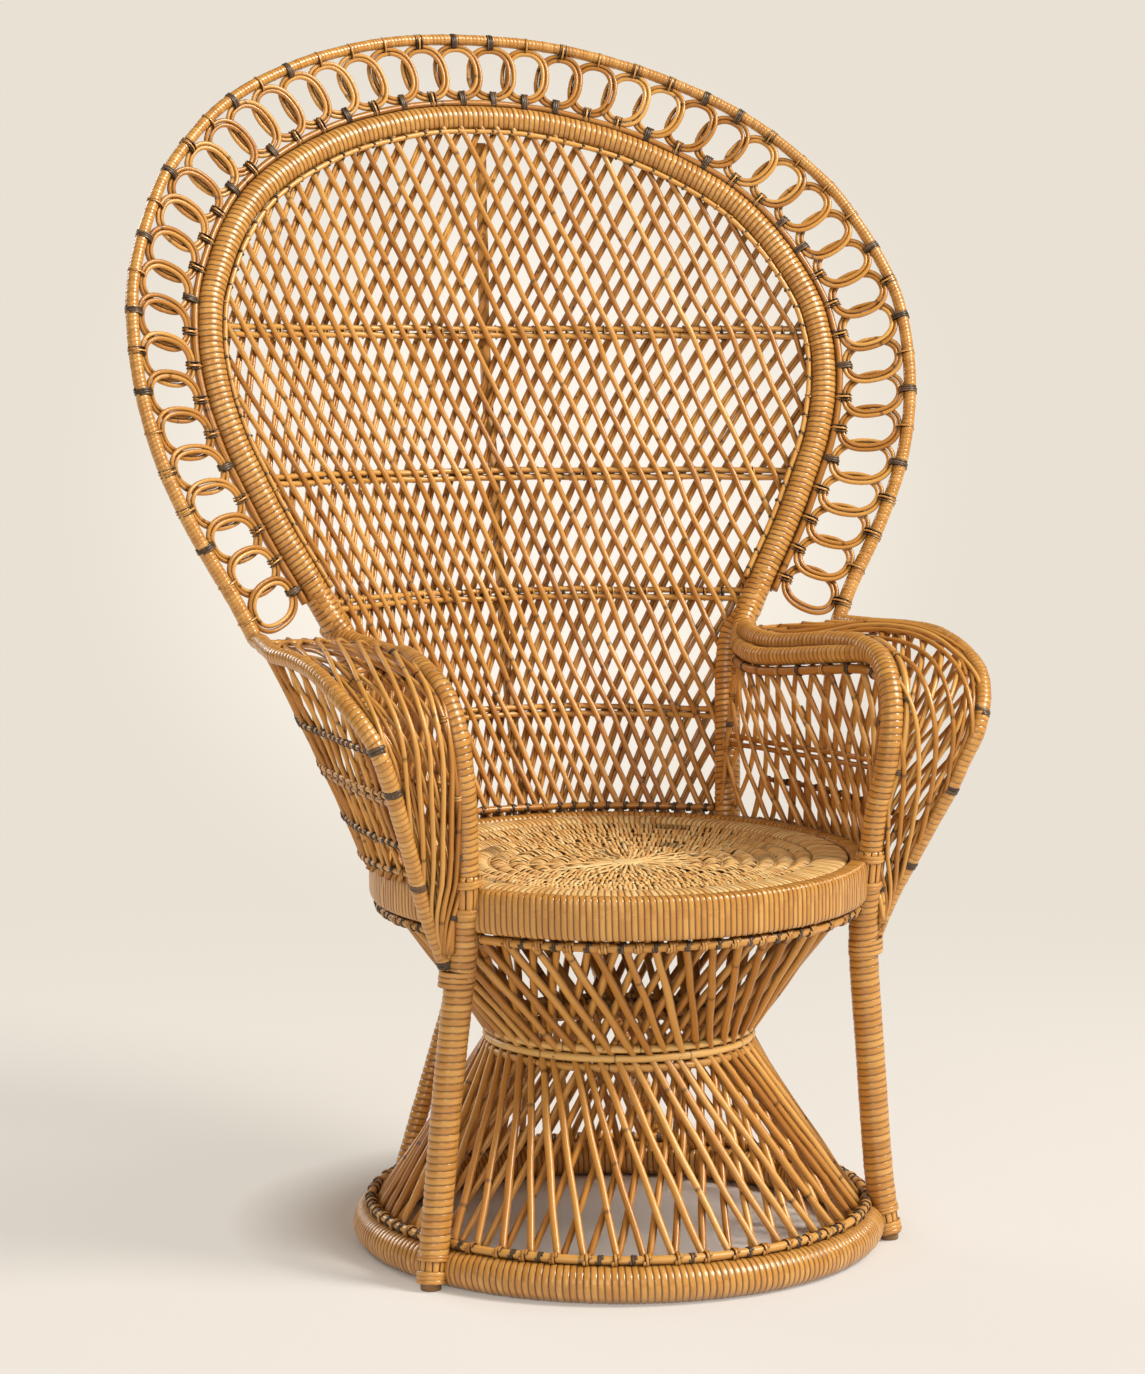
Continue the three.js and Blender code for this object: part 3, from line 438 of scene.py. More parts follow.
outerHoop = dict(
    points=[(367, 675), (389, 720), (418, 770), (444, 820), (465, 870), (479, 920), (487, 970), (489, 1020),
            (485, 1070), (470, 1120), (447, 1170), (430, 1200), (396, 1240), (353, 1280), (308, 1310),
            (260, 1333), (220, 1349), (180, 1361), (140, 1371), (100, 1378), (60, 1382)],
    crown=1384, radiusLow=9, radiusHigh=6.6,
    winding=dict(strip=4.8, sides=14, groove=0.3, crown=0.12, darkening=0.3),
)
innerHoop = dict(
    points=[(264, 690), (274, 709), (291, 740), (314, 780), (335, 820), (351, 854), (371, 900), (385, 950),
            (390.5, 1000), (389, 1028), (384, 1060), (368, 1100), (346, 1140), (313, 1180), (274, 1210),
            (219, 1240), (169, 1260), (120, 1273), (80, 1281), (40, 1285)],
    foot=[(219, 181, 398), (224, 193, 470), (230, 207, 550), (238, 223, 630), (246, 229, 660)],
    crown=1286, half=13.6, across=15.6, winding=dict(strip=6.7, sides=20, groove=0.65, crown=0.28),
)
armRail = dict(
    points=[(268, 236, 688), (260, 222, 677), (250, 198, 669), (240, 160, 664), (236, 110, 661),
            (242, 60, 662), (256, 5, 668), (266, -45, 670), (270, -88, 666), (268, -120, 656),
            (262, -148, 638), (257, -167, 605), (250, -170, 550), (243, -159, 495), (239.5, -151, 443)],
    radius=13, winding=dict(strip=7.1, sides=18, groove=0.6, crown=0.3, darkening=0.85),
)
underRail = dict(
    start=[(292, 228, 742), (277, 225, 714), (262, 219, 690), (246, 204, 669), (232, 180, 656)],
    shares=[0.24, 0.33, 0.42, 0.5, 0.57, 0.63, 0.7, 0.78, 0.86, 0.93], inward=20, inwardLow=-2, drop=14,
    turnStart=0.44, turnEnd=0.62, radius=10.6, radiusStart=13.4, narrowing=110,
    winding=dict(armRail["winding"], sides=16),
)
wingRail = dict(
    points=[(367, 187, 676), (371, 150, 676), (381, 110, 676), (394, 50, 677), (400, 5, 675),
            (392, -40, 672), (385, -95, 662), (377, -148, 641), (366, -175, 620), (356, -189, 600),
            (347, -194, 578), (335, -188, 550), (324, -181, 520), (312, -170, 490), (300, -159, 460),
            (289, -147, 430), (276, -138, 400), (264, -134, 372), (254, -132, 346), (248, -131, 330)],
    radius=9.4, winding=dict(strip=6.6, sides=14, groove=0.45, crown=0.25, darkening=0.5),
)


def wholeHoop(shape, feet=()):
    right = [*feet, *[(x, hoopDepth(x, z), z) for x, z in shape["points"]]]
    left = [(-x, y, z) for x, y, z in reversed(right)]
    return smoothLine([*right, (0, hoopDepth(0, shape["crown"]), shape["crown"]), *left])


outerCurve = wholeHoop(outerHoop)
innerCurve = wholeHoop(innerHoop, innerHoop["foot"])
hoopCurve = wholeHoop(innerHoop)  # the same without its feet, as the garland follows it
armCurve = smoothLine(armRail["points"])
wingCurve = smoothLine(wingRail["points"])


def underPath():
    # it leaves the hoop's foot, runs inside the arm rail and joins it where that turns down
    made = [np.array(point, float) for point in underRail["start"]]
    for share in underRail["shares"]:
        at, _ = placeOn(armCurve, share)
        t = (share - underRail["turnStart"]) / (underRail["turnEnd"] - underRail["turnStart"])
        t = np.clip(t, 0, 1)
        down = t * t * (3 - 2 * t)
        inward = underRail["inward"] + down * (underRail["inwardLow"] - underRail["inward"])
        made.append(at + [-inward, down * 3, -(1 - down) * underRail["drop"]])
    return smoothLine(made)


underCurve = underPath()


# Hoops, posts and rails, all wound poles

share = np.abs(np.linspace(-1, 1, len(outerCurve)))
outerRadius = outerHoop["radiusHigh"] + (outerHoop["radiusLow"] - outerHoop["radiusHigh"]) * share**3
makePiece("outer_hoop_wrap", [wound(outerCurve, outerRadius, **outerHoop["winding"])], wrapCane,
          ["outer_hoop"])
makePiece("inner_hoop_wrap",
          [wound(innerCurve, innerHoop["half"], wide=innerHoop["across"], facing=(0, -1, 0),
                 **innerHoop["winding"])],
          wrapCane, ["inner_hoop", "back_post_left", "back_post_right"])
underRadius = np.interp(lengthsAlong(underCurve), [0, underRail["narrowing"]],
                        [underRail["radiusStart"], underRail["radius"]])
for name, side in handed:
    for rail, curve, radius, winding in (("arm_rail", armCurve, armRail["radius"], armRail["winding"]),
                                         ("arm_under_rail", underCurve, underRadius, underRail["winding"]),
                                         ("wing_rail", wingCurve, wingRail["radius"], wingRail["winding"])):
        makePiece(rail + "_wrap_" + name, [wound(mirrored(curve, side), radius, **winding)],
                  wrapCane, [rail + "_" + name])
print("hoops and rails wound")


# Front and rear legs, each wound from its foot plug up

legs = dict(
    front=[(275.3, -134.5, 0), (267.5, -128.5, 60), (252, -129, 226), (241.5, -133, 330), (238.5, -139, 380),
           (238.3, -146, 412), (239.2, -150, 440), (240.4, -153.4, 458)],
    radius=16.3, wrapped=(32, 415), winding=dict(strip=7.8, sides=20, groove=0.6, crown=0.35, darkening=0.75),
    bands=((5, 22, 0.6), (29, 39, 0.9), (404, 416, 0.9), (434, 447, 0.2)),  # from, to, and how far proud
    bandWinding=dict(strip=4, sides=20, groove=0.3, darkening=0.35), windows=((19, 32), (413, 437)),
    stripCount=11, stripThick=1.1, stripWide=3.7, core=13.6, joinShare=0.735, joinWay=(0.98, 0.1, 0),
    joinShift=3, joinProud=(4, 1.2), joinTurns=4, joinStrip=6, plugRadius=11, plugHeight=12,
    rear=[(180, 256, 0), (32, 290.8, 424)], rearRadius=10.6, rearPlugRadius=8,
    rearWinding=dict(strip=8, sides=16, groove=0.8, darkening=0.85),
)
frontLine = smoothLine(legs["front"], 4)


def legPiece(line, low, high):
    z = line[:, 2]
    ends = [np.array([np.interp(h, z, line[:, k]) for k in range(3)]) for h in (low, high)]
    return np.vstack([ends[0], line[(z > low + 2) & (z < high - 2)], ends[1]])


def legWindow(line, low, high):
    # upright strips round a dark core, seen where the winding stops
    at = evenly(legPiece(line, low - 11, high + 11), 6)
    core = rod(at, legs["core"], sides=20, facing=(1, 0, 0))
    strips = []
    for i in range(legs["stripCount"]):
        turn = 2 * math.pi * (i + 0.12 * hand.random()) / legs["stripCount"]
        away = np.array([math.cos(turn), math.sin(turn), 0])
        strips.append(rod(at + away * (legs["core"] + 0.7), legs["stripThick"], wide=legs["stripWide"],
                          facing=away))
    return core, strips


for name, side in handed:
    line = mirrored(frontLine, side)
    wraps = [wound(legPiece(line, *legs["wrapped"]), legs["radius"], **legs["winding"])]
    for low, high, proud in legs["bands"]:
        wraps.append(wound(legPiece(line, low, high), legs["radius"] + proud, **legs["bandWinding"]))
    at, way = placeOn(line, legs["joinShare"])
    toRail = mirrored(legs["joinWay"], side)
    thick, wide = (legs["radius"] + proud for proud in legs["joinProud"])
    wraps.append(band(at + legs["joinShift"] * toRail, way, toRail, thick, wide, legs["joinTurns"],
                      legs["joinStrip"], sides=20))
    cores = []
    for low, high in legs["windows"]:
        core, strips = legWindow(line, low, high)
        cores.append(core)
        wraps += strips
    makePiece("front_leg_wrap_" + name, wraps, wrapCane, ["front_leg_" + name])
    makePiece("front_leg_core_" + name, cores, darkCane)
    plug = rounded(legs["plugRadius"], 0, legs["plugHeight"], line[0][:2])
    makePiece("front_foot_plug_wood_" + name, [plug], footWood, ["front_foot_plug_" + name])
    rear = mirrored(legs["rear"], side)
    way = unit(rear[1] - rear[0])
    start = rear[0] + way * (legs["plugHeight"] / way[2])
    thick = legs["rearRadius"] + 1
    wraps = [wound(evenly([start, rear[1]], 8), legs["rearRadius"], **legs["rearWinding"]),
             band(rear[1] - 5 * way, way, (0, 1, 0), thick, thick, 4, 4)]
    makePiece("rear_leg_wrap_" + name, wraps, wrapCane, ["rear_leg_" + name])
    plug = rounded(legs["rearPlugRadius"], 0, legs["plugHeight"], rear[0][:2])
    makePiece("rear_foot_plug_wood_" + name, [plug], footWood, ["rear_foot_plug_" + name])
print("legs wound")


# The base: floor ring, two nets of crossing stakes and the waist

base = dict(
    ringRadius=281, ringTube=20.5, ringStrip=7, layer=4.2, twist=22, waistInside=137.5, waistRadius=149.9,
    waistTube=4.8, waistHeight=234.3, waistStep=10.7, seatTilt=(0.012, 0.028),
    lower=dict(count=54, ring=(270.5, 39), waist=243, radius=4.2, spread=(0.93, 1.07), wobble=0.8),
    upper=dict(count=48, ring=(257, 393), waist=229, radius=4.4, spread=(0.92, 1.05), wobble=0.9),
    floorLash=(281.5, 46, 5), seatLash=(270, 386, 5),  # each rod's ring radius, height and own radius
    # how many ties, their turns and strip, and how far they stand proud
    floorTies=(54, 3, 3.3, 1.9), floorDark=(54, 3, 3.1, 0.9), seatTies=(48, 4, 3.2, 1.5),
    seatDark=(48, 3, 3.1, 0.9), waistTies=(7, 2, 2.4, 0.5), floorDarkKept=0.7, seatDarkKept=0.75,
)
makePiece("base_ring_wrap",
          [wound(circle(base["ringRadius"], base["ringTube"]), base["ringTube"], base["ringStrip"], sides=28,
                 closed=True)],
          wrapCane, ["base_ring"])


def onRing(radius, turn, height):
    return np.array([radius * math.cos(turn), radius * math.sin(turn), height])


def tilted(parts, low=None):
    # the seat stands a little higher behind than in front; above low the tilt comes in with the height
    top = base["upper"]["ring"][1]
    for part in parts:
        share = 1 if low is None else np.clip((part[0][:, 2] - low) / (top - low), 0, 1)
        part[0][:, 2] += part[0][:, :2] @ base["seatTilt"] * share
    return parts


def stakeNet(net):
    # straight stakes between a ring and the waist, in two layers that lean opposite ways
    made = []
    radius, height = net["ring"]
    upward = 1 if height > net["waist"] else -1
    for layer in (1, -1):
        apart = layer * base["layer"]
        for i in range(net["count"]):
            turn = 2 * math.pi * (i + hand.normal(0, 0.04)) / net["count"]
            lean = layer * math.radians(base["twist"] + hand.normal(0, 0.7))
            ends = [onRing(radius + apart, turn, height),
                    onRing(base["waistInside"] + apart, turn + upward * lean, net["waist"])]
            stake = evenly(ends[::-upward], 12)
            made.append(rod(stake, net["radius"] * hand.uniform(*net["spread"]), wobble=net["wobble"]))
    return made


makePiece("lower_stakes_canes", stakeNet(base["lower"]), bareCane, ["lower_stakes"])
makePiece("upper_stakes_canes", tilted(stakeNet(base["upper"]), base["upper"]["waist"]), bareCane,
          ["upper_stakes"])


def ringRod(ring, wobble=0.3, sides=8):
    radius, height, tube = ring
    return rod(circle(radius, height), tube, closed=True, wobble=wobble, sides=sides)


def ringBands(ring, count, turns, strip, proud, shift=0.0, kept=1.0):
    radius, height, tube = ring
    made = []
    for i in range(count):
        if hand.random() > kept:
            continue
        turn = 2 * math.pi * (i + shift + hand.normal(0, 0.03)) / count
        way = np.array([-math.sin(turn), math.cos(turn), 0])
        out = onRing(1, turn, 0)
        made.append(band(onRing(radius, turn, height), way, out, tube + proud, tube + proud, turns, strip))
    return made


makePiece("base_lash_ring_cane",
          [ringRod(base["floorLash"]), *ringBands(base["floorLash"], *base["floorTies"])],
          bareCane, ["base_lash_ring"])
makePiece("base_lash_ring_dark_bindings",
          ringBands(base["floorLash"], *base["floorDark"], shift=0.5, kept=base["floorDarkKept"]), darkCane)
makePiece("seat_lash_ring_cane",
          tilted([ringRod(base["seatLash"]), *ringBands(base["seatLash"], *base["seatTies"], shift=0.5)]),
          bareCane, ["seat_lash_ring"])
makePiece("seat_lash_ring_dark_bindings",
          tilted(ringBands(base["seatLash"], *base["seatDark"], kept=base["seatDarkKept"])), darkCane)
for level, name in enumerate(("lower", "middle", "upper")):
    ring = base["waistRadius"], base["waistHeight"] + (level - 1) * base["waistStep"], base["waistTube"]
    makePiece("waist_hoop_cane_" + name,
              [ringRod(ring, 0.25, 12), *ringBands(ring, *base["waistTies"], shift=level / 3)],
              waistCane, ["waist_hoop_" + name])
print("base built")


# The seat: a wound rim, a flat border, a mat woven round spokes and two braces below

seat = dict(
    outer=281.3, depth=22, top=440, height=46, rimStrip=6.5, matTop=435.5, hub=17, sag=6, drawn=(-1, -26),
    rings=[16, 31, 48, 67, 88, 109, 131, 151, 173, 196, 219], stripGap=5.3, stripWide=4.9, stripThick=0.9,
    stripShort=0.8, bulge=4.4, missing=0.05, missingWithin=160, looseWithin=150, edgeLoose=0.3,
    coilDrop=2.6, coilCane=1.6, spokes=34, spokeStart=7, spokeReach=[48, 74, 100, 128],
    spokeShares=[0.35, 0.3, 0.2, 0.15], spokeThick=1.1, spokeWide=2.0, border=(218, 257), borderThick=4.6,
    borderStrip=6.8, undersideShadeRadius=258, undersideShadeDrop=(13, 11), braceReach=258.5, braceOffset=95, braceWidth=22,
    braceTop=426, braceHeight=12,
)
makePiece("seat_rim_wrap",
          tilted([wound(circle(seat["outer"] - seat["depth"] / 2, seat["top"] - seat["height"] / 2),
                        seat["depth"] / 2, seat["rimStrip"], wide=seat["height"] / 2, sides=40,
                        facing=unit(circle(1, 0)), closed=True, square=0.42, darkening=0.95)]),
          wrapCane, ["seat_rim"])


def sagging(x, y, z):
    # the mat dips towards its hub, which sits a little in front of the seat's middle
    dip = np.maximum(0, 1 - (x**2 + y**2) / seat["border"][0] ** 2)
    return np.stack([x + seat["drawn"][0] * dip, y + seat["drawn"][1] * dip, z - seat["sag"] * dip], -1)


def matBands():
    # rings of short flat strips laid outward, each ring bulging between two grooves
    made = []
    for low, high in zip(seat["rings"][:-1], seat["rings"][1:]):
        middle = (low + high) / 2
        count = round(2 * math.pi * middle / seat["stripGap"])
        phase = hand.uniform(0, 6, 3)
        loose = 1 if middle < seat["looseWithin"] else seat["edgeLoose"]
        share = np.linspace(0, 1, 7)
        start, long = low + seat["stripShort"], high - low - 2 * seat["stripShort"]
        for i in range(count):
            if hand.random() < seat["missing"] and middle < seat["missingWithin"]:
                continue
            turn = 2 * math.pi * (i + hand.normal(0, 0.12)) / count
            radius = start + long * share + hand.normal(0, 0.9) * loose
            swing = turn + (share - 0.5) * hand.normal(0.15, 0.14 * loose) * (high - low) / middle
            rise = seat["bulge"] * (np.sin(math.pi * share) - 0.6) + hand.normal(0, 0.4) * loose
            line = sagging(radius * np.cos(swing), radius * np.sin(swing), seat["matTop"] + rise)
            wide = seat["stripWide"] / 2 * hand.uniform(0.75, 1.05)
            part = rod(line, seat["stripThick"], wide=wide, sides=6, facing=(0, 0, 1))
            waves = sum(np.sin(turn * k + p) for k, p in zip((2, 5, 9), phase))
            fleck = 0.4 * (hand.random() < 0.03)
            part[3][:, 3] = 0.6 * np.clip(waves - 1.7, 0, 1) * min(1, middle / 90) + fleck
            made.append(part)
    for radius in seat["rings"]:
        coil = sagging(*circle(radius, seat["matTop"] - seat["coilDrop"], 96).T)
        made.append(rod(coil, seat["coilCane"], sides=6, facing=(0, 0, 1), closed=True))
    return made


def matSpokes():
    # thin loose strips over the bands, of uneven length
    made = []
    for i in range(seat["spokes"]):
        turn = 2 * math.pi * (i + hand.normal(0, 0.14)) / seat["spokes"]
        reach = hand.choice(seat["spokeReach"], p=seat["spokeShares"]) * hand.uniform(0.9, 1.1)
        radius = np.linspace(seat["spokeStart"], reach, int(reach / 5))
        sway = turn + 0.014 * np.sin(radius / 9 + i)
        rise = 2.6 - 2.4 * (radius / reach) ** 2 + 0.5 * np.sin(radius / 7 + 2 * i)
        line = sagging(radius * np.cos(sway), radius * np.sin(sway), seat["matTop"] + rise)
        made.append(rod(line, seat["spokeThick"], wide=seat["spokeWide"], sides=6, facing=(0, 0, 1),
                        tone=hand.uniform(0.6, 1)))
    return made


hubDisc = rod(sagging(np.zeros(3), np.zeros(3), seat["matTop"] + np.array([-1, 3.4, 4.4])),
              [seat["hub"], seat["hub"], seat["hub"] - 4], sides=20, facing=(1, 0, 0), tone=1)
makePiece("seat_mat", tilted([*matBands(), *matSpokes(), hubDisc]), seatCane, ["seat_panel"])
borderIn, borderOut = seat["border"]
makePiece("seat_border_wrap",
          tilted([wound(circle((borderIn + borderOut) / 2, seat["matTop"] - 0.6), seat["borderThick"],
                        seat["borderStrip"], wide=(borderOut - borderIn) / 2, sides=24, facing=(0, 0, 1),
                        closed=True, square=0.9, groove=0.9, crown=0.5)]),
          seatCane)
# painted shade: a near-black disc under the mat that shows through its gaps where the seat's underside lies
# in shade
undersideShade = rod([(0, 0, seat["matTop"] - drop) for drop in seat["undersideShadeDrop"]], seat["undersideShadeRadius"], sides=72,
             facing=(1, 0, 0))
makePiece("seat_underside_painted_shade", tilted([undersideShade]), darkCane)
for name, side in (("front", -1), ("back", 1)):
    reach = math.sqrt(seat["braceReach"] ** 2 - (seat["braceOffset"] + seat["braceWidth"]) ** 2)
    place, height = side * seat["braceOffset"], seat["braceTop"] - seat["braceHeight"] / 2
    brace = rod(evenly([(-reach, place, height), (reach, place, height)], 20), seat["braceHeight"] / 2,
                wide=seat["braceWidth"] / 2, sides=16, facing=(0, 0, 1))
    makePiece("seat_brace_wood_" + name, [brace], footWood, ["seat_brace_" + name])
print("seat woven")


# The garland of rings between the hoops

garland = dict(
    count=46, cane=2.75, gap=5.5, halfAlong=28, fullness=2.3, tilt=3.4, lashRadius=4.5, thinRadius=3,
    thinOut=1, thinBack=9, insideIn=2.8, insideFront=6, bindTurns=3, bindStrip=2.6, darkInner=0.25,
    edgeTies=0.4,
    darkTies=(4, 6, 8, 10, 15, 16, 22, 23, 28, 30, 33, 35, 37, 39, 43),
)


def outwardFrom(curve):
    # away from the fan's middle, square to the curve and in the hoops' own sheet
    tangent = framesAlong(curve)[0]
    level = np.ones(len(curve))
    sheet = unit(np.stack([2 * fan["curl"] * curve[:, 0], level, -fan["rake"] * level], 1))
    out = unit(np.cross(tangent, sheet))
    flip = np.sign((out * (curve - [0, 0, fan["middle"]])).sum(1))
    flip[flip == 0] = 1
    return out * flip[:, None], sheet


hoopOut, hoopBack = outwardFrom(hoopCurve)
trim = slice(6, -6)  # the rods beside the hoop stop short of its ends
lashCurve = (hoopCurve + hoopOut * (innerHoop["across"] + garland["lashRadius"]))[trim]
thinOut, insideIn = innerHoop["across"] + garland["thinOut"], innerHoop["across"] + garland["insideIn"]
thinCurve = (hoopCurve + hoopOut * thinOut + hoopBack * garland["thinBack"])[trim]
insideCurve = (hoopCurve - hoopOut * insideIn - hoopBack * garland["insideFront"])[trim]


def garlandRings():
    rings, pale, dark = [], [], []
    turn = np.linspace(0, 2 * math.pi, 44, endpoint=False)
    sideways, upward = rounding(turn, 2 / garland["fullness"])
    cane, strip = garland["cane"], garland["bindStrip"]
    for i in range(garland["count"]):
        share = (i + 0.5) / garland["count"]
        high, way = placeOn(outerCurve, share)
        low, _ = placeOn(lashCurve, share)
        up = unit(high - low)
        facing = unit(np.cross(way, up))
        hoopSize = float(np.interp(share, np.linspace(0, 1, len(outerRadius)), outerRadius))
        top = high - up * (hoopSize + cane * 0.7)
        bottom = low + up * (garland["lashRadius"] + cane * 0.7)
        centre = (top + bottom) / 2
        halfUp = np.linalg.norm(top - bottom) / 2
        tilt = garland["tilt"] + hand.normal(0, 0.4)
        widen = hand.uniform(0.97, 1.03)
        for k in range(2):
            a = garland["halfAlong"] * widen - k * garland["gap"]
            b = halfUp - k * garland["gap"] * 0.92
            lean = tilt * np.cos(turn) + hand.normal(0, 0.3)
            flat = centre + (a * sideways)[:, None] * way + (b * upward)[:, None] * up
            rings.append(rod(flat + lean[:, None] * facing, cane, closed=True, wobble=0.5))
        # the outer ties hold one cane of the ring, the inner ones both
        allDark = i in garland["darkTies"], hand.random() < garland["darkInner"]
        for at, size, sign, hold, isDark in (
                (high, hoopSize, -1, garland["gap"] / 2, allDark[0]),
                (low, garland["lashRadius"], 1, garland["gap"], allDark[1])):
            middle = at + sign * up * hold
            reach, across = size + hold + 1.1, size + 1.5
            if isDark:
                dark.append(band(middle, way, up, reach, across, garland["bindTurns"] + 1, strip))
                continue
            pale.append(band(middle, way, up, reach, across, 2, strip))
            if sign > 0 or hand.random() < garland["edgeTies"]:
                for edge in (-1, 1):
                    spot = middle + edge * way * (strip + 1.1)
                    dark.append(band(spot, way, up, reach - 0.2, across - 0.2, 1, 2.2))
    return rings, pale, dark


rings, paleBands, darkBands = garlandRings()
makePiece("ring_garland_canes", rings, bareCane, ["ring_garland"])
makePiece("garland_bindings", paleBands, wrapCane)
makePiece("garland_dark_bindings", darkBands, darkCane)
makePiece("hoop_lash_rod_cane",
          [rod(lashCurve, garland["lashRadius"], wobble=0.4),
           rod(thinCurve, garland["thinRadius"], wobble=0.4)],
          bareCane, ["hoop_lash_rod"])
print("garland bound")


# The back's lattice: one layer of canes leaning each way, tied round its edge

lattice = dict(
    spacing=22.7, leanFront=-0.47, leanBehind=0.53, caneFront=3.5, caneBehind=2.65, pairGap=3.6, bottom=434,
    gather=[(440, 0.72), (514, 0.75), (640, 0.79), (775, 0.86), (945, 0.95), (1028, 1.0), (1290, 1.04)],
    rods=[567, 708, 853, 1026], rodCane=3.7, rodGap=8.4, rodReach=24, tieStrip=2.6, darkTies=0.1,
    middleLine=[(285, 440), (348, 629), (358, 701), (374, 773), (384, 846), (408, 943), (418, 1029),
                (424, 1151), (432, 1258), (439, 1286)],
    slatWidth=14, slatThickness=3, slatLow=405, slatHigh=1262, slatBehind=8,
    inside=dict(radius=3.2, gap=23, darkShare=0.6, turns=2, proud=0.9),
    bottomRod=dict(radius=4.2, gap=20, darkShare=0.7, proud=1.1), bottomHalf=208, bottomHeight=454.5,
    bottomForward=7,
)
rightHalf = innerCurve[: len(innerCurve) // 2 + 1]
rightHalf = rightHalf[np.argsort(rightHalf[:, 2])]
middleLine = smoothLine([(0, y, z) for y, z in lattice["middleLine"]])


def latticePoint(x, z, offset=0.0):
    edgeX = np.maximum(np.interp(z, rightHalf[:, 2], rightHalf[:, 0]), 15)
    edgeY = np.interp(z, rightHalf[:, 2], rightHalf[:, 1])
    middleY = np.interp(z, middleLine[:, 2], middleLine[:, 1])
    bow = 1 - np.minimum(1, np.abs(x) / edgeX) ** 2
    return np.stack([x, edgeY + (middleY - edgeY) * bow + offset, z], -1)


def insideOutline(x, y, outline):
    inside = np.zeros(x.shape, bool)
    for (x0, y0), (x1, y1) in zip(outline, np.roll(outline, -1, 0)):
        crosses = (y0 > y) != (y1 > y)
        slope = (x1 - x0) / (y1 - y0) if y1 != y0 else 0
        inside ^= crosses & (x < x0 + slope * (y - y0))
    return inside


def leaningRuns(outline, lean, spacing, shortest=20.0, step=3.0):
    # straight runs of a leaning family of lines inside an outline
    outline = np.asarray(outline, float)
    (x0, y0), (x1, y1) = outline.min(0), outline.max(0)
    y = np.arange(y0, y1, step)
    starts = x0 - max(lean * y0, lean * y1)
    ends = x1 - min(lean * y0, lean * y1)
    runs = []
    for c in np.arange(starts, ends, spacing):
        c += hand.normal(0, 0.05) * spacing
        slope = lean * (1 + hand.normal(0, 0.008))
        x = c + slope * (y - (y0 + y1) / 2) + lean * (y0 + y1) / 2
        kept = np.flatnonzero(insideOutline(x, y, outline))
        for group in np.split(kept, np.flatnonzero(np.diff(kept) > 1) + 1):
            if len(group) * step > shortest:
                runs.append((x[group], y[group]))
    return runs


def gathered(z):
    # the canes draw together towards the seat
    heights, shares = np.array(lattice["gather"]).T
    return np.interp(z, heights, shares)


def backOutline():
    right = rightHalf[rightHalf[:, 2] > lattice["bottom"]]
    foot = np.interp(lattice["bottom"], rightHalf[:, 2], rightHalf[:, 0])
    right = np.vstack([[foot, lattice["bottom"]], right[:, [0, 2]]])
    right[:, 0] /= gathered(right[:, 1])
    return np.vstack([right, right[::-1] * [-1, 1]])


def layerOffset(cane, z):
    # the two layers part where the level rods run between them
    near = sum(np.exp(-(((z - r) / lattice["rodReach"]) ** 2)) for r in lattice["rods"])
    return cane * 0.85 + near * lattice["rodCane"] * 0.8


def backLattice():
    made = []
    outline = backOutline()
    cane = lattice["caneFront"]
    for x, z in leaningRuns(outline, lattice["leanFront"], lattice["spacing"]):
        path = latticePoint(x * gathered(z), z, -layerOffset(cane, z))
        made.append(rod(evenly(path, 8), cane * hand.uniform(0.93, 1.07), wobble=1.3))
    cane = lattice["caneBehind"]
    for x, z in leaningRuns(outline, lattice["leanBehind"], lattice["spacing"]):
        tone = hand.random()
        for side in (-0.5, 0.5):
            shift = side * lattice["pairGap"] * (1 + 0.2 * np.sin(z / 60 + hand.uniform(0, 6)))
            path = latticePoint(x * gathered(z) + shift, z, layerOffset(cane, z))
            made.append(rod(evenly(path, 8), cane * hand.uniform(0.93, 1.07), wobble=0.7, sides=7, tone=tone))
    return made


makePiece("back_net_canes", backLattice(), bareCane, ["back_net"])
rodTies = []
for i, height in enumerate(lattice["rods"]):
    reach = np.interp(height, rightHalf[:, 2], rightHalf[:, 0])
    x = np.linspace(-reach, reach, 60)
    pair = [rod(latticePoint(x, np.full(60, height + side * lattice["rodGap"] / 2), -1), lattice["rodCane"],
                wobble=0.9, tone=0.9)
            for side in (-1, 1)]
    ties = int(2 * reach / (lattice["spacing"] * gathered(height)))
    for k in range(ties):
        at = (2 * (k + 0.5 + hand.normal(0, 0.08)) / ties - 1) * reach
        tie = band(latticePoint(at, height), np.array([1, 0, 0]), (0, 0, 1),
                   lattice["rodGap"] / 2 + lattice["rodCane"] + 1, lattice["rodCane"] + 1, 2,
                   lattice["tieStrip"], sides=10)
        (rodTies if hand.random() < lattice["darkTies"] else pair).append(tie)
    makePiece("back_rod_canes_" + str(i + 1), pair, bareCane, ["back_rod_" + str(i + 1)])
slatZ = np.arange(lattice["slatLow"], lattice["slatHigh"], 12.0)
slat = rod(latticePoint(np.zeros(len(slatZ)), slatZ, lattice["slatBehind"]), lattice["slatThickness"] / 2,
           wide=lattice["slatWidth"] / 2, sides=16, facing=(0, 1, 0))
makePiece("back_slat_cane", [slat], slatCane, ["back_slat"])


def tiedRod(path, radius, gap, darkShare, turns=3, strip=3.0, facing=(0, -1, 0), proud=1.4):
    # a bare rod with a tie of binding cane at every gap
    pale, dark = [], []
    count = max(1, int(lengthsAlong(path)[-1] / gap))
    for i in range(count):
        at, way = placeOn(path, (i + 0.5 + hand.normal(0, 0.05)) / count)
        tie = band(at, way, facing, radius + proud, radius + proud, turns, strip, sides=10)
        (dark if hand.random() < darkShare else pale).append(tie)
    return [rod(path, radius, wobble=0.3)], pale, dark


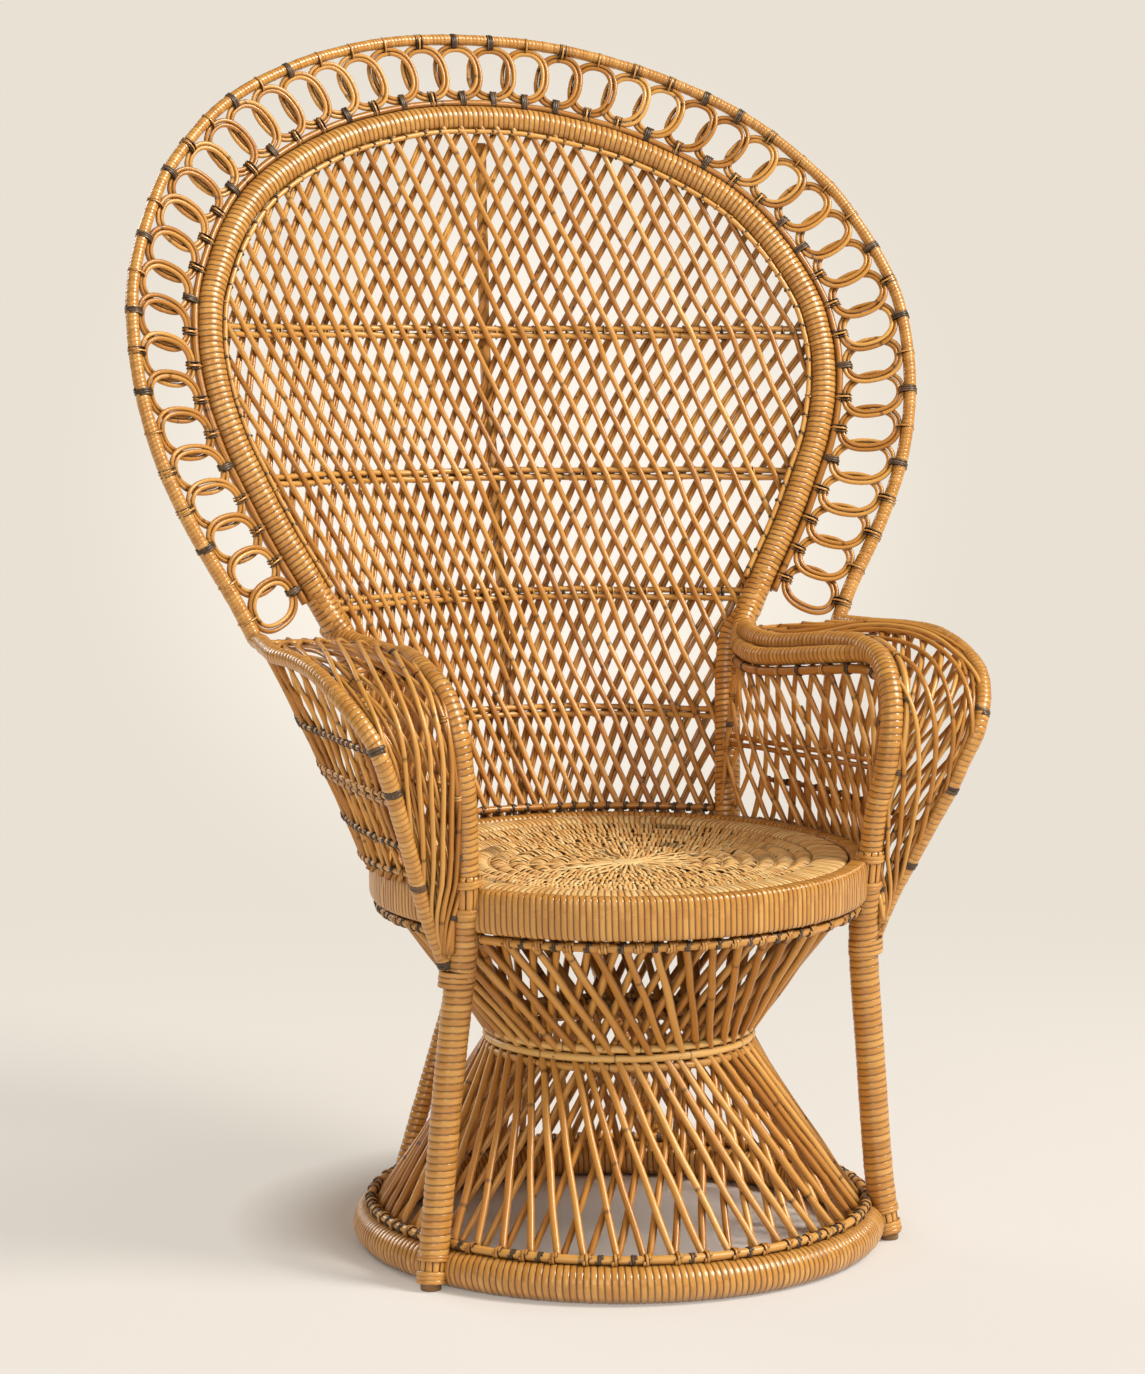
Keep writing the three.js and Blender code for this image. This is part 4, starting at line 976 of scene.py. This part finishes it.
insideRod, insidePale, insideDark = tiedRod(insideCurve, **lattice["inside"])
bottomX = np.linspace(-lattice["bottomHalf"], lattice["bottomHalf"], 60)
bottomPath = latticePoint(bottomX, np.full(60, lattice["bottomHeight"]), -lattice["bottomForward"])
bottomRod, bottomPale, bottomDark = tiedRod(bottomPath, **lattice["bottomRod"])
makePiece("inside_lash_rod", insideRod + insidePale, bareCane)
makePiece("back_bottom_rod_cane", bottomRod + bottomPale, bareCane, ["back_bottom_rod"])
makePiece("back_dark_bindings", insideDark + bottomDark + rodTies, darkCane)
print("lattice woven")


# Arms: an inner panel, an outer panel and a woven cover over each wing

panels = dict(
    cane=2.75, armFoot=(283, 430), armBack=194, armFront=-150, armHead=638, armGap=26.5, armLean=0.39,
    armRods=(533, 542), armRodCane=3.1, edgeRod=dict(radius=5.4, gap=38, darkShare=0.3, proud=0.9),
    postRod=dict(radius=3.6, gap=30, darkShare=0.3, facing=(-1, 0, 0), proud=0.9),
    sideSpan=(0.80, 0.04), sideFoot=(287, 442), frontTurn=-0.50, backTurn=0.66, sideSize=(420, 225),
    sideGap=25, sideLean=0.34, rowCane=3.2, rowDrop=16,  # each row: its rise, its ties' gap and dark share
    rows=((2, 20, 0.2), (50, 15, 1.0), (101, 22, 0.1), (109, 22, 0.1), (158, 15, 1.0)),
    coverWing=(0.975, 0.03), coverSize=(650, 110), coverCane=2.9, coverGap=dict(left=88, right=68),
    coverLean=dict(left=5.2, right=2.9), coverEdge=(0.8, 0.89), edgeCane=2.7, coverEnds=(0.97, 0.995),
    endCane=3.2, coverBulge=14, lashAt=0.15, lashRod=dict(radius=4.2, gap=70, darkShare=0.6),
    bindings=dict(left=(0.59, 0.66, 0.826, 0.965), right=(0.574, 0.704, 0.843)), bindStrip=4.2,
)


def spanPoint(curve, span, u):
    along = lengthsAlong(curve)
    s = (span[0] + (span[1] - span[0]) * np.asarray(u)) * along[-1]
    return np.stack([np.interp(s, along, curve[:, k]) for k in range(3)], -1)


def footPoint(foot, u):
    radius, height = foot
    turn = panels["frontTurn"] + (panels["backTurn"] - panels["frontTurn"]) * np.asarray(u)
    return np.stack([radius * np.cos(turn), radius * np.sin(turn), np.full(np.shape(u), height)], -1)


underTop = underCurve[(underCurve[:, 1] < panels["armBack"]) & (underCurve[:, 2] > 628)]


def armOutline():
    # the arm panel's edge seen from the side: up the post, along under the rail and down inside its front
    front = armCurve[armCurve[:, 2] < 612][:, 1:] + [11, 0]
    front = front[front[:, 1] > 441]
    foot = panels["armFoot"][1]
    return np.vstack([[(panels["armBack"], foot)], underTop[:, 1:] - [0, 9], front, [(front[-1, 0], foot)]])


def armPoint(y, z, inward=0.0):
    radius, height = panels["armFoot"]
    foot = np.sqrt(np.maximum(radius**2 - y**2, 100**2))
    head = np.interp(-y, -underTop[:, 1], underTop[:, 0])
    x = foot + (head - foot) * (z - height) / (panels["armHead"] - height) - inward
    return np.stack([x, y, z], -1)


def armLattice():
    made = []
    for lean, inward in ((1, 2.6), (-1, -2.6)):
        for y, z in leaningRuns(armOutline(), lean * panels["armLean"], panels["armGap"]):
            path = evenly(armPoint(y, z, inward), 9)
            made.append(rod(path, panels["cane"] * hand.uniform(1.05, 1.22), wobble=1.5, sides=7))
    return made


def sideSheet(u, v):
    low, high = footPoint(panels["sideFoot"], u), spanPoint(wingCurve, panels["sideSpan"], u)
    return low + (high - low) * v[..., None]


def coverMatch():
    # for steps along the wing rail, the shares of the arm's line that lie nearest, smoothed
    line = np.vstack([armCurve, [(250, -150, 400), (256, -148, 360)]])
    steps = np.linspace(-0.1, 1.1, 61)
    wing = spanPoint(wingCurve, panels["coverWing"], steps)
    near = np.linalg.norm(line[None] - wing[:, None], axis=2).argmin(1)
    shares = lengthsAlong(line)[np.minimum.accumulate(near)]
    shares = np.convolve(np.pad(shares, 4, mode="edge"), np.ones(9) / 9, mode="valid")
    return line, steps, shares


matchLine, matchSteps, matchPlaces = coverMatch()


def coverSheet(u, v):
    at, along = np.interp(u, matchSteps, matchPlaces), lengthsAlong(matchLine)
    low = np.stack([np.interp(at, along, matchLine[:, k]) for k in range(3)], -1)
    high, ahead, behind = (spanPoint(wingCurve, panels["coverWing"], w) for w in (u, u - 0.02, u + 0.02))
    outward = unit(np.cross(unit(ahead - behind), high - low))
    bulge = panels["coverBulge"] * 4 * v * (1 - v) * np.minimum(1, np.linalg.norm(high - low, axis=-1) / 110)
    bulge = bulge * np.clip((1 - u) / 0.2, 0, 1)
    return low + (high - low) * v[..., None] + outward * bulge[..., None]


def onSheet(sheet, u, v, offset):
    step = 0.01
    du = sheet(u + step, v) - sheet(u - step, v)
    dv = sheet(u, v + step) - sheet(u, v - step)
    return sheet(u, v) + unit(np.cross(du, dv)) * np.asarray(offset)[..., None]


def sheetLattice(sheet, size, lean, gap, cane, layerGap):
    # canes leaning each way over a sheet of about this length and height
    made = []
    length, height = size
    box = [(0, 0), (length, 0), (length, height), (0, height)]
    for layer in (-1, 1):
        for x, y in leaningRuns(box, layer * lean, gap):
            path = onSheet(sheet, x / length, y / height, np.full(len(x), layer * layerGap))
            made.append(rod(evenly(path, 9), cane * hand.uniform(0.92, 1.08), wobble=0.8, sides=7))
    return made


def seenThrough(u, v):
    # where the line from the camera's stand to a point of the outer panel crosses the inner panel
    point, eye = sideSheet(u, v), (stand - seatAxis) / millimetre
    near, far = np.full(u.shape, 0.8), np.ones(u.shape)
    for _ in range(24):
        share = (near + far) / 2
        at = eye + share[..., None] * (point - eye)
        past = at[..., 0] > armPoint(at[..., 1], at[..., 2])[..., 0]
        near, far = np.where(past, near, share), np.where(past, share, far)
    return at[..., 1], at[..., 2]


def alignedPanel():
    # the outer right panel follows the inner one's canes, so that daylight shows through both
    steps = np.linspace(0, 1, 120)
    u, v = np.meshgrid(steps, np.linspace(0, 1, 36))
    y, z = seenThrough(u, v)
    outline = armOutline()
    made = []
    for lean in (panels["armLean"], -panels["armLean"]):
        values = y - lean * z
        first = outline[:, 0].min() - max(lean * outline[:, 1].min(), lean * outline[:, 1].max())
        for k in range(-12, 24):
            wanted = first + k * panels["armGap"]
            rows = np.flatnonzero((values[:, 0] <= wanted) & (values[:, -1] >= wanted))
            if len(rows) > 3:
                at = np.array([np.interp(wanted, values[i], steps) for i in rows])
                path = onSheet(sideSheet, at, v[rows, 0], np.zeros(len(rows)))
                made.append(rod(evenly(path, 9), panels["cane"], wobble=0.5, sides=7))
    return made


def sideRows(side):
    # level rods across the outer panel, each with its ties, stopped short of the wing rail
    rods, darks = [], []
    for rise, gap, darkShare in panels["rows"]:
        if side > 0 and rise > 50:
            continue
        u = np.linspace(0, 1, 60)
        top = spanPoint(wingCurve, panels["sideSpan"], u)[:, 2] - panels["sideFoot"][1]
        level = (rise - panels["rowDrop"] * (1 - u) * (rise > 10)) / top
        u, level = u[level < 0.94], level[level < 0.94]
        row = onSheet(sideSheet, u, level, np.full(len(u), 3.0))
        bare, pale, dark = tiedRod(row, panels["rowCane"], gap, darkShare, facing=(0, 0, 1), proud=1.0)
        rods += bare + pale
        darks += dark
    return rods, darks


def coverRow(v, offset):
    return onSheet(coverSheet, np.linspace(0, 1, 50), np.full(50, v), np.full(50, offset))


def flipped(parts, side):
    # a mirrored part, its faces turned to face out again
    if side > 0:
        return parts
    return [(p * [-1, 1, 1], q[:, ::-1], c[:, ::-1], g) for p, q, c, g in parts]


for name, side in handed:
    makePiece("arm_panel_canes_" + name, flipped(armLattice(), side), bareCane, ["arm_panel_" + name])
    alongPanel = np.linspace(panels["armBack"], panels["armFront"], 40)
    middle = [rod(armPoint(alongPanel, np.full(40, float(z))), panels["armRodCane"], wobble=0.5)
              for z in panels["armRods"]]
    rim = armOutline()[1:-1]
    rim = rim[rim[:, 1] > 470]
    inner = np.where(rim[:, 1:] < 600, [[6, 0]], [[0, -8]])
    edge = smoothLine(armPoint(*(rim + inner)[2::4].T, 5))
    topRod, topPale, topDark = tiedRod(edge, facing=(0, 0, 1), **panels["edgeRod"])
    besidePost = armPoint(np.full(24, panels["armBack"] - 8.0), np.linspace(443, 640, 24), 3)
    postRod, postPale, postDark = tiedRod(besidePost, **panels["postRod"])
    makePiece("arm_panel_rod_canes_" + name, flipped(middle + topRod + postRod + topPale + postPale, side),
              bareCane, ["arm_panel_rod_" + name])
    outer = (alignedPanel() if side > 0 else
             sheetLattice(sideSheet, panels["sideSize"], panels["sideLean"], panels["sideGap"],
                          panels["cane"], 2.5))
    makePiece("side_panel_canes_" + name, flipped(outer, side), bareCane, ["side_panel_" + name])
    rows, darks = sideRows(side)
    makePiece("side_panel_rod_canes_" + name, flipped(rows, side), bareCane, ["side_panel_rod_" + name])
    cover = sheetLattice(coverSheet, panels["coverSize"], panels["coverLean"][name],
                         panels["coverGap"][name], panels["coverCane"], 2.6)
    cover += [rod(coverRow(v, 1), panels["edgeCane"], wobble=1.2) for v in panels["coverEdge"]]
    across = np.linspace(0.02, 0.98, 24)
    cover += [rod(coverSheet(np.full(24, u), across), panels["endCane"], wobble=0.8)
              for u in panels["coverEnds"]]
    makePiece("wing_cover_canes_" + name, flipped(cover, side), bareCane, ["wing_cover_" + name])
    lash, lashPale, lashDark = tiedRod(coverRow(panels["lashAt"], 0), facing=(0, 0, 1), **panels["lashRod"])
    makePiece("wing_lash_rod_cane_" + name, flipped(lash + lashPale, side), bareCane,
              ["wing_lash_rod_" + name])
    reach = wingRail["radius"] + 0.7
    for share in panels["bindings"][name]:
        at, way = placeOn(wingCurve, share)
        darks.append(band(at, way, (0, 0, 1), reach, reach, 3, panels["bindStrip"], sides=14))
    makePiece("wing_dark_bindings_" + name, flipped(topDark + postDark + darks + lashDark, side), darkCane)
print("arms and wings woven")


# Floor, light and camera

studio = dict(
    # past the base ring the floor's own glow is painted light that pales the chair's cast shadow
    floor=(0.81, 0.765, 0.72), floorRadius=14.0, floorGlowColour=(0.90, 0.835, 0.75), lift=0.62, liftStart=0.29,
    liftEnd=0.42, fadeStart=0.95, fadeEnd=2.5, backdrop=(0.815, 0.755, 0.66), glow=(1.0, 0.925, 0.82),
    glowNear=2.6, glowFar=8.2, glowPitch=2.2, glowLook=21.2, ambient=(1, 0.91, 0.76), ambientStrength=0.22,
    lamps=dict(
        key=dict(place=(4.3, -4.1, 6.0), target=(0, 0, 0.6), size=2.6, energy=700, colour=(1, 0.97, 0.92)),
        back=dict(place=(-2.6, 5.6, 3.4), target=(0, 0, 0.7), size=2.6, energy=130, colour=(1, 0.97, 0.93)),
        fill=dict(place=(-3.2, -5.4, 2.6), target=(0, 0, 0.7), size=3.0, energy=90, colour=(1, 0.96, 0.90)),
    ),
)


def backdropColour(tree, way):
    # the backdrop's colour, a little lighter round one fixed direction behind the chair
    pitch, look = math.radians(studio["glowPitch"]), math.radians(studio["glowLook"])
    middle = math.sin(look) * math.cos(pitch), math.cos(look) * math.cos(pitch), -math.sin(pitch)
    straight = addNode(tree, "VectorMath", {0: way}, operation="NORMALIZE").outputs["Vector"]
    beside = addNode(tree, "VectorMath", {0: straight, 1: middle}, operation="DISTANCE").outputs["Value"]
    near, far = math.radians(studio["glowNear"]), math.radians(studio["glowFar"])
    spread = addNode(tree, "MapRange", {"Value": beside, "From Min": near, "From Max": far},
                     interpolation_type="SMOOTHSTEP")
    mix = addNode(tree, "Mix", {"Factor": spread.outputs[0], "A": (*studio["glow"], 1),
                                "B": (*studio["backdrop"], 1)}, data_type="RGBA")
    return mix.outputs["Result"]


def makeFloor():
    # a disc that keeps the chair's shadow near the base, glows with painted light farther out, which pales
    # the shadow there, and fades into the backdrop
    mesh = bpy.data.meshes.new("floor")
    edge = circle(studio["floorRadius"], 0, 96)
    mesh.from_pydata(edge.tolist(), [], [list(range(len(edge)))])
    floor = bpy.data.objects.new("floor", mesh)
    bpy.context.scene.collection.objects.link(floor)
    floor.location.z = float(seatAxis[2]) - 0.0002
    material = bpy.data.materials.new("floor")
    material.use_nodes = True
    tree = material.node_tree
    plain = tree.nodes["Principled BSDF"]
    feed(plain, {"Base Color": (*studio["floor"], 1), "Roughness": 0.9, "Specular IOR Level": 0.1})
    place = addNode(tree, "NewGeometry").outputs["Position"]
    away = addNode(tree, "VectorMath", {0: place, 1: tuple(stand)}, operation="SUBTRACT").outputs["Vector"]
    far = addNode(tree, "Emission", {"Color": backdropColour(tree, away)})
    distance = addNode(tree, "VectorMath", {0: place}, operation="LENGTH").outputs["Value"]
    fade = addNode(tree, "MapRange", {"Value": distance, "From Min": studio["fadeStart"],
                                      "From Max": studio["fadeEnd"]}, interpolation_type="SMOOTHSTEP")
    # painted light: past the base ring the floor partly glows by itself, lifting the chair's cast shadow
    near = addNode(tree, "MapRange", {"Value": distance, "From Min": studio["liftStart"],
                                      "From Max": studio["liftEnd"], "To Max": studio["lift"]})
    lift = addNode(tree, "Emission", {"Color": (*studio["floorGlowColour"], 1)})
    glowLifted = addNode(tree, "MixShader", {0: near.outputs[0], 1: plain.outputs[0], 2: lift.outputs[0]})
    mix = addNode(tree, "MixShader", {0: fade.outputs[0], 1: glowLifted.outputs[0], 2: far.outputs[0]})
    feed(tree.nodes["Material Output"], {"Surface": mix.outputs[0]})
    mesh.materials.append(material)
    floor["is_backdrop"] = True


def makeLamp(name, place, target, size, energy, colour):
    lamp = bpy.data.lights.new(name, "AREA")
    lamp.shape = "SQUARE"
    lamp.size = size
    lamp.energy = energy
    lamp.color = colour
    holder = bpy.data.objects.new(name, lamp)
    bpy.context.scene.collection.objects.link(holder)
    holder.location = place
    holder.rotation_mode = "QUATERNION"
    holder.rotation_quaternion = (Vector(target) - Vector(place)).to_track_quat("-Z", "Y")


def makeWorld():
    # a soft warm light on everything, while the camera sees the plain backdrop
    world = bpy.data.worlds.new("studio")
    world.use_nodes = True
    bpy.context.scene.world = world
    tree = world.node_tree
    soft = tree.nodes["Background"]
    feed(soft, {"Color": (*studio["ambient"], 1), "Strength": studio["ambientStrength"]})
    heading = addNode(tree, "TexCoord").outputs["Generated"]
    seen = addNode(tree, "Background", {"Color": backdropColour(tree, heading)})
    rays = addNode(tree, "LightPath").outputs
    either = addNode(tree, "Math", {0: rays["Is Camera Ray"], 1: rays["Is Transmission Ray"]},
                     operation="MAXIMUM")
    choose = addNode(tree, "MixShader", {0: either.outputs[0], 1: soft.outputs[0], 2: seen.outputs[0]})
    feed(tree.nodes["World Output"], {"Surface": choose.outputs[0]})


makeFloor()
for name, lamp in studio["lamps"].items():
    makeLamp(name, **lamp)
makeWorld()

camera = bpy.data.cameras.new("photo view")
camera.lens = view["lens"]
camera.sensor_width = view["sensor"]
camera.clip_start, camera.clip_end = 0.1, 60
holder = bpy.data.objects.new("photo view", camera)
bpy.context.scene.collection.objects.link(holder)
holder.location = stand
holder.rotation_euler = (math.radians(90 - view["pitch"]), 0, -math.radians(view["look"]))
bpy.context.scene.camera = holder
bpy.context.scene.view_settings.view_transform = "Standard"
print("studio ready")

low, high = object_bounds()
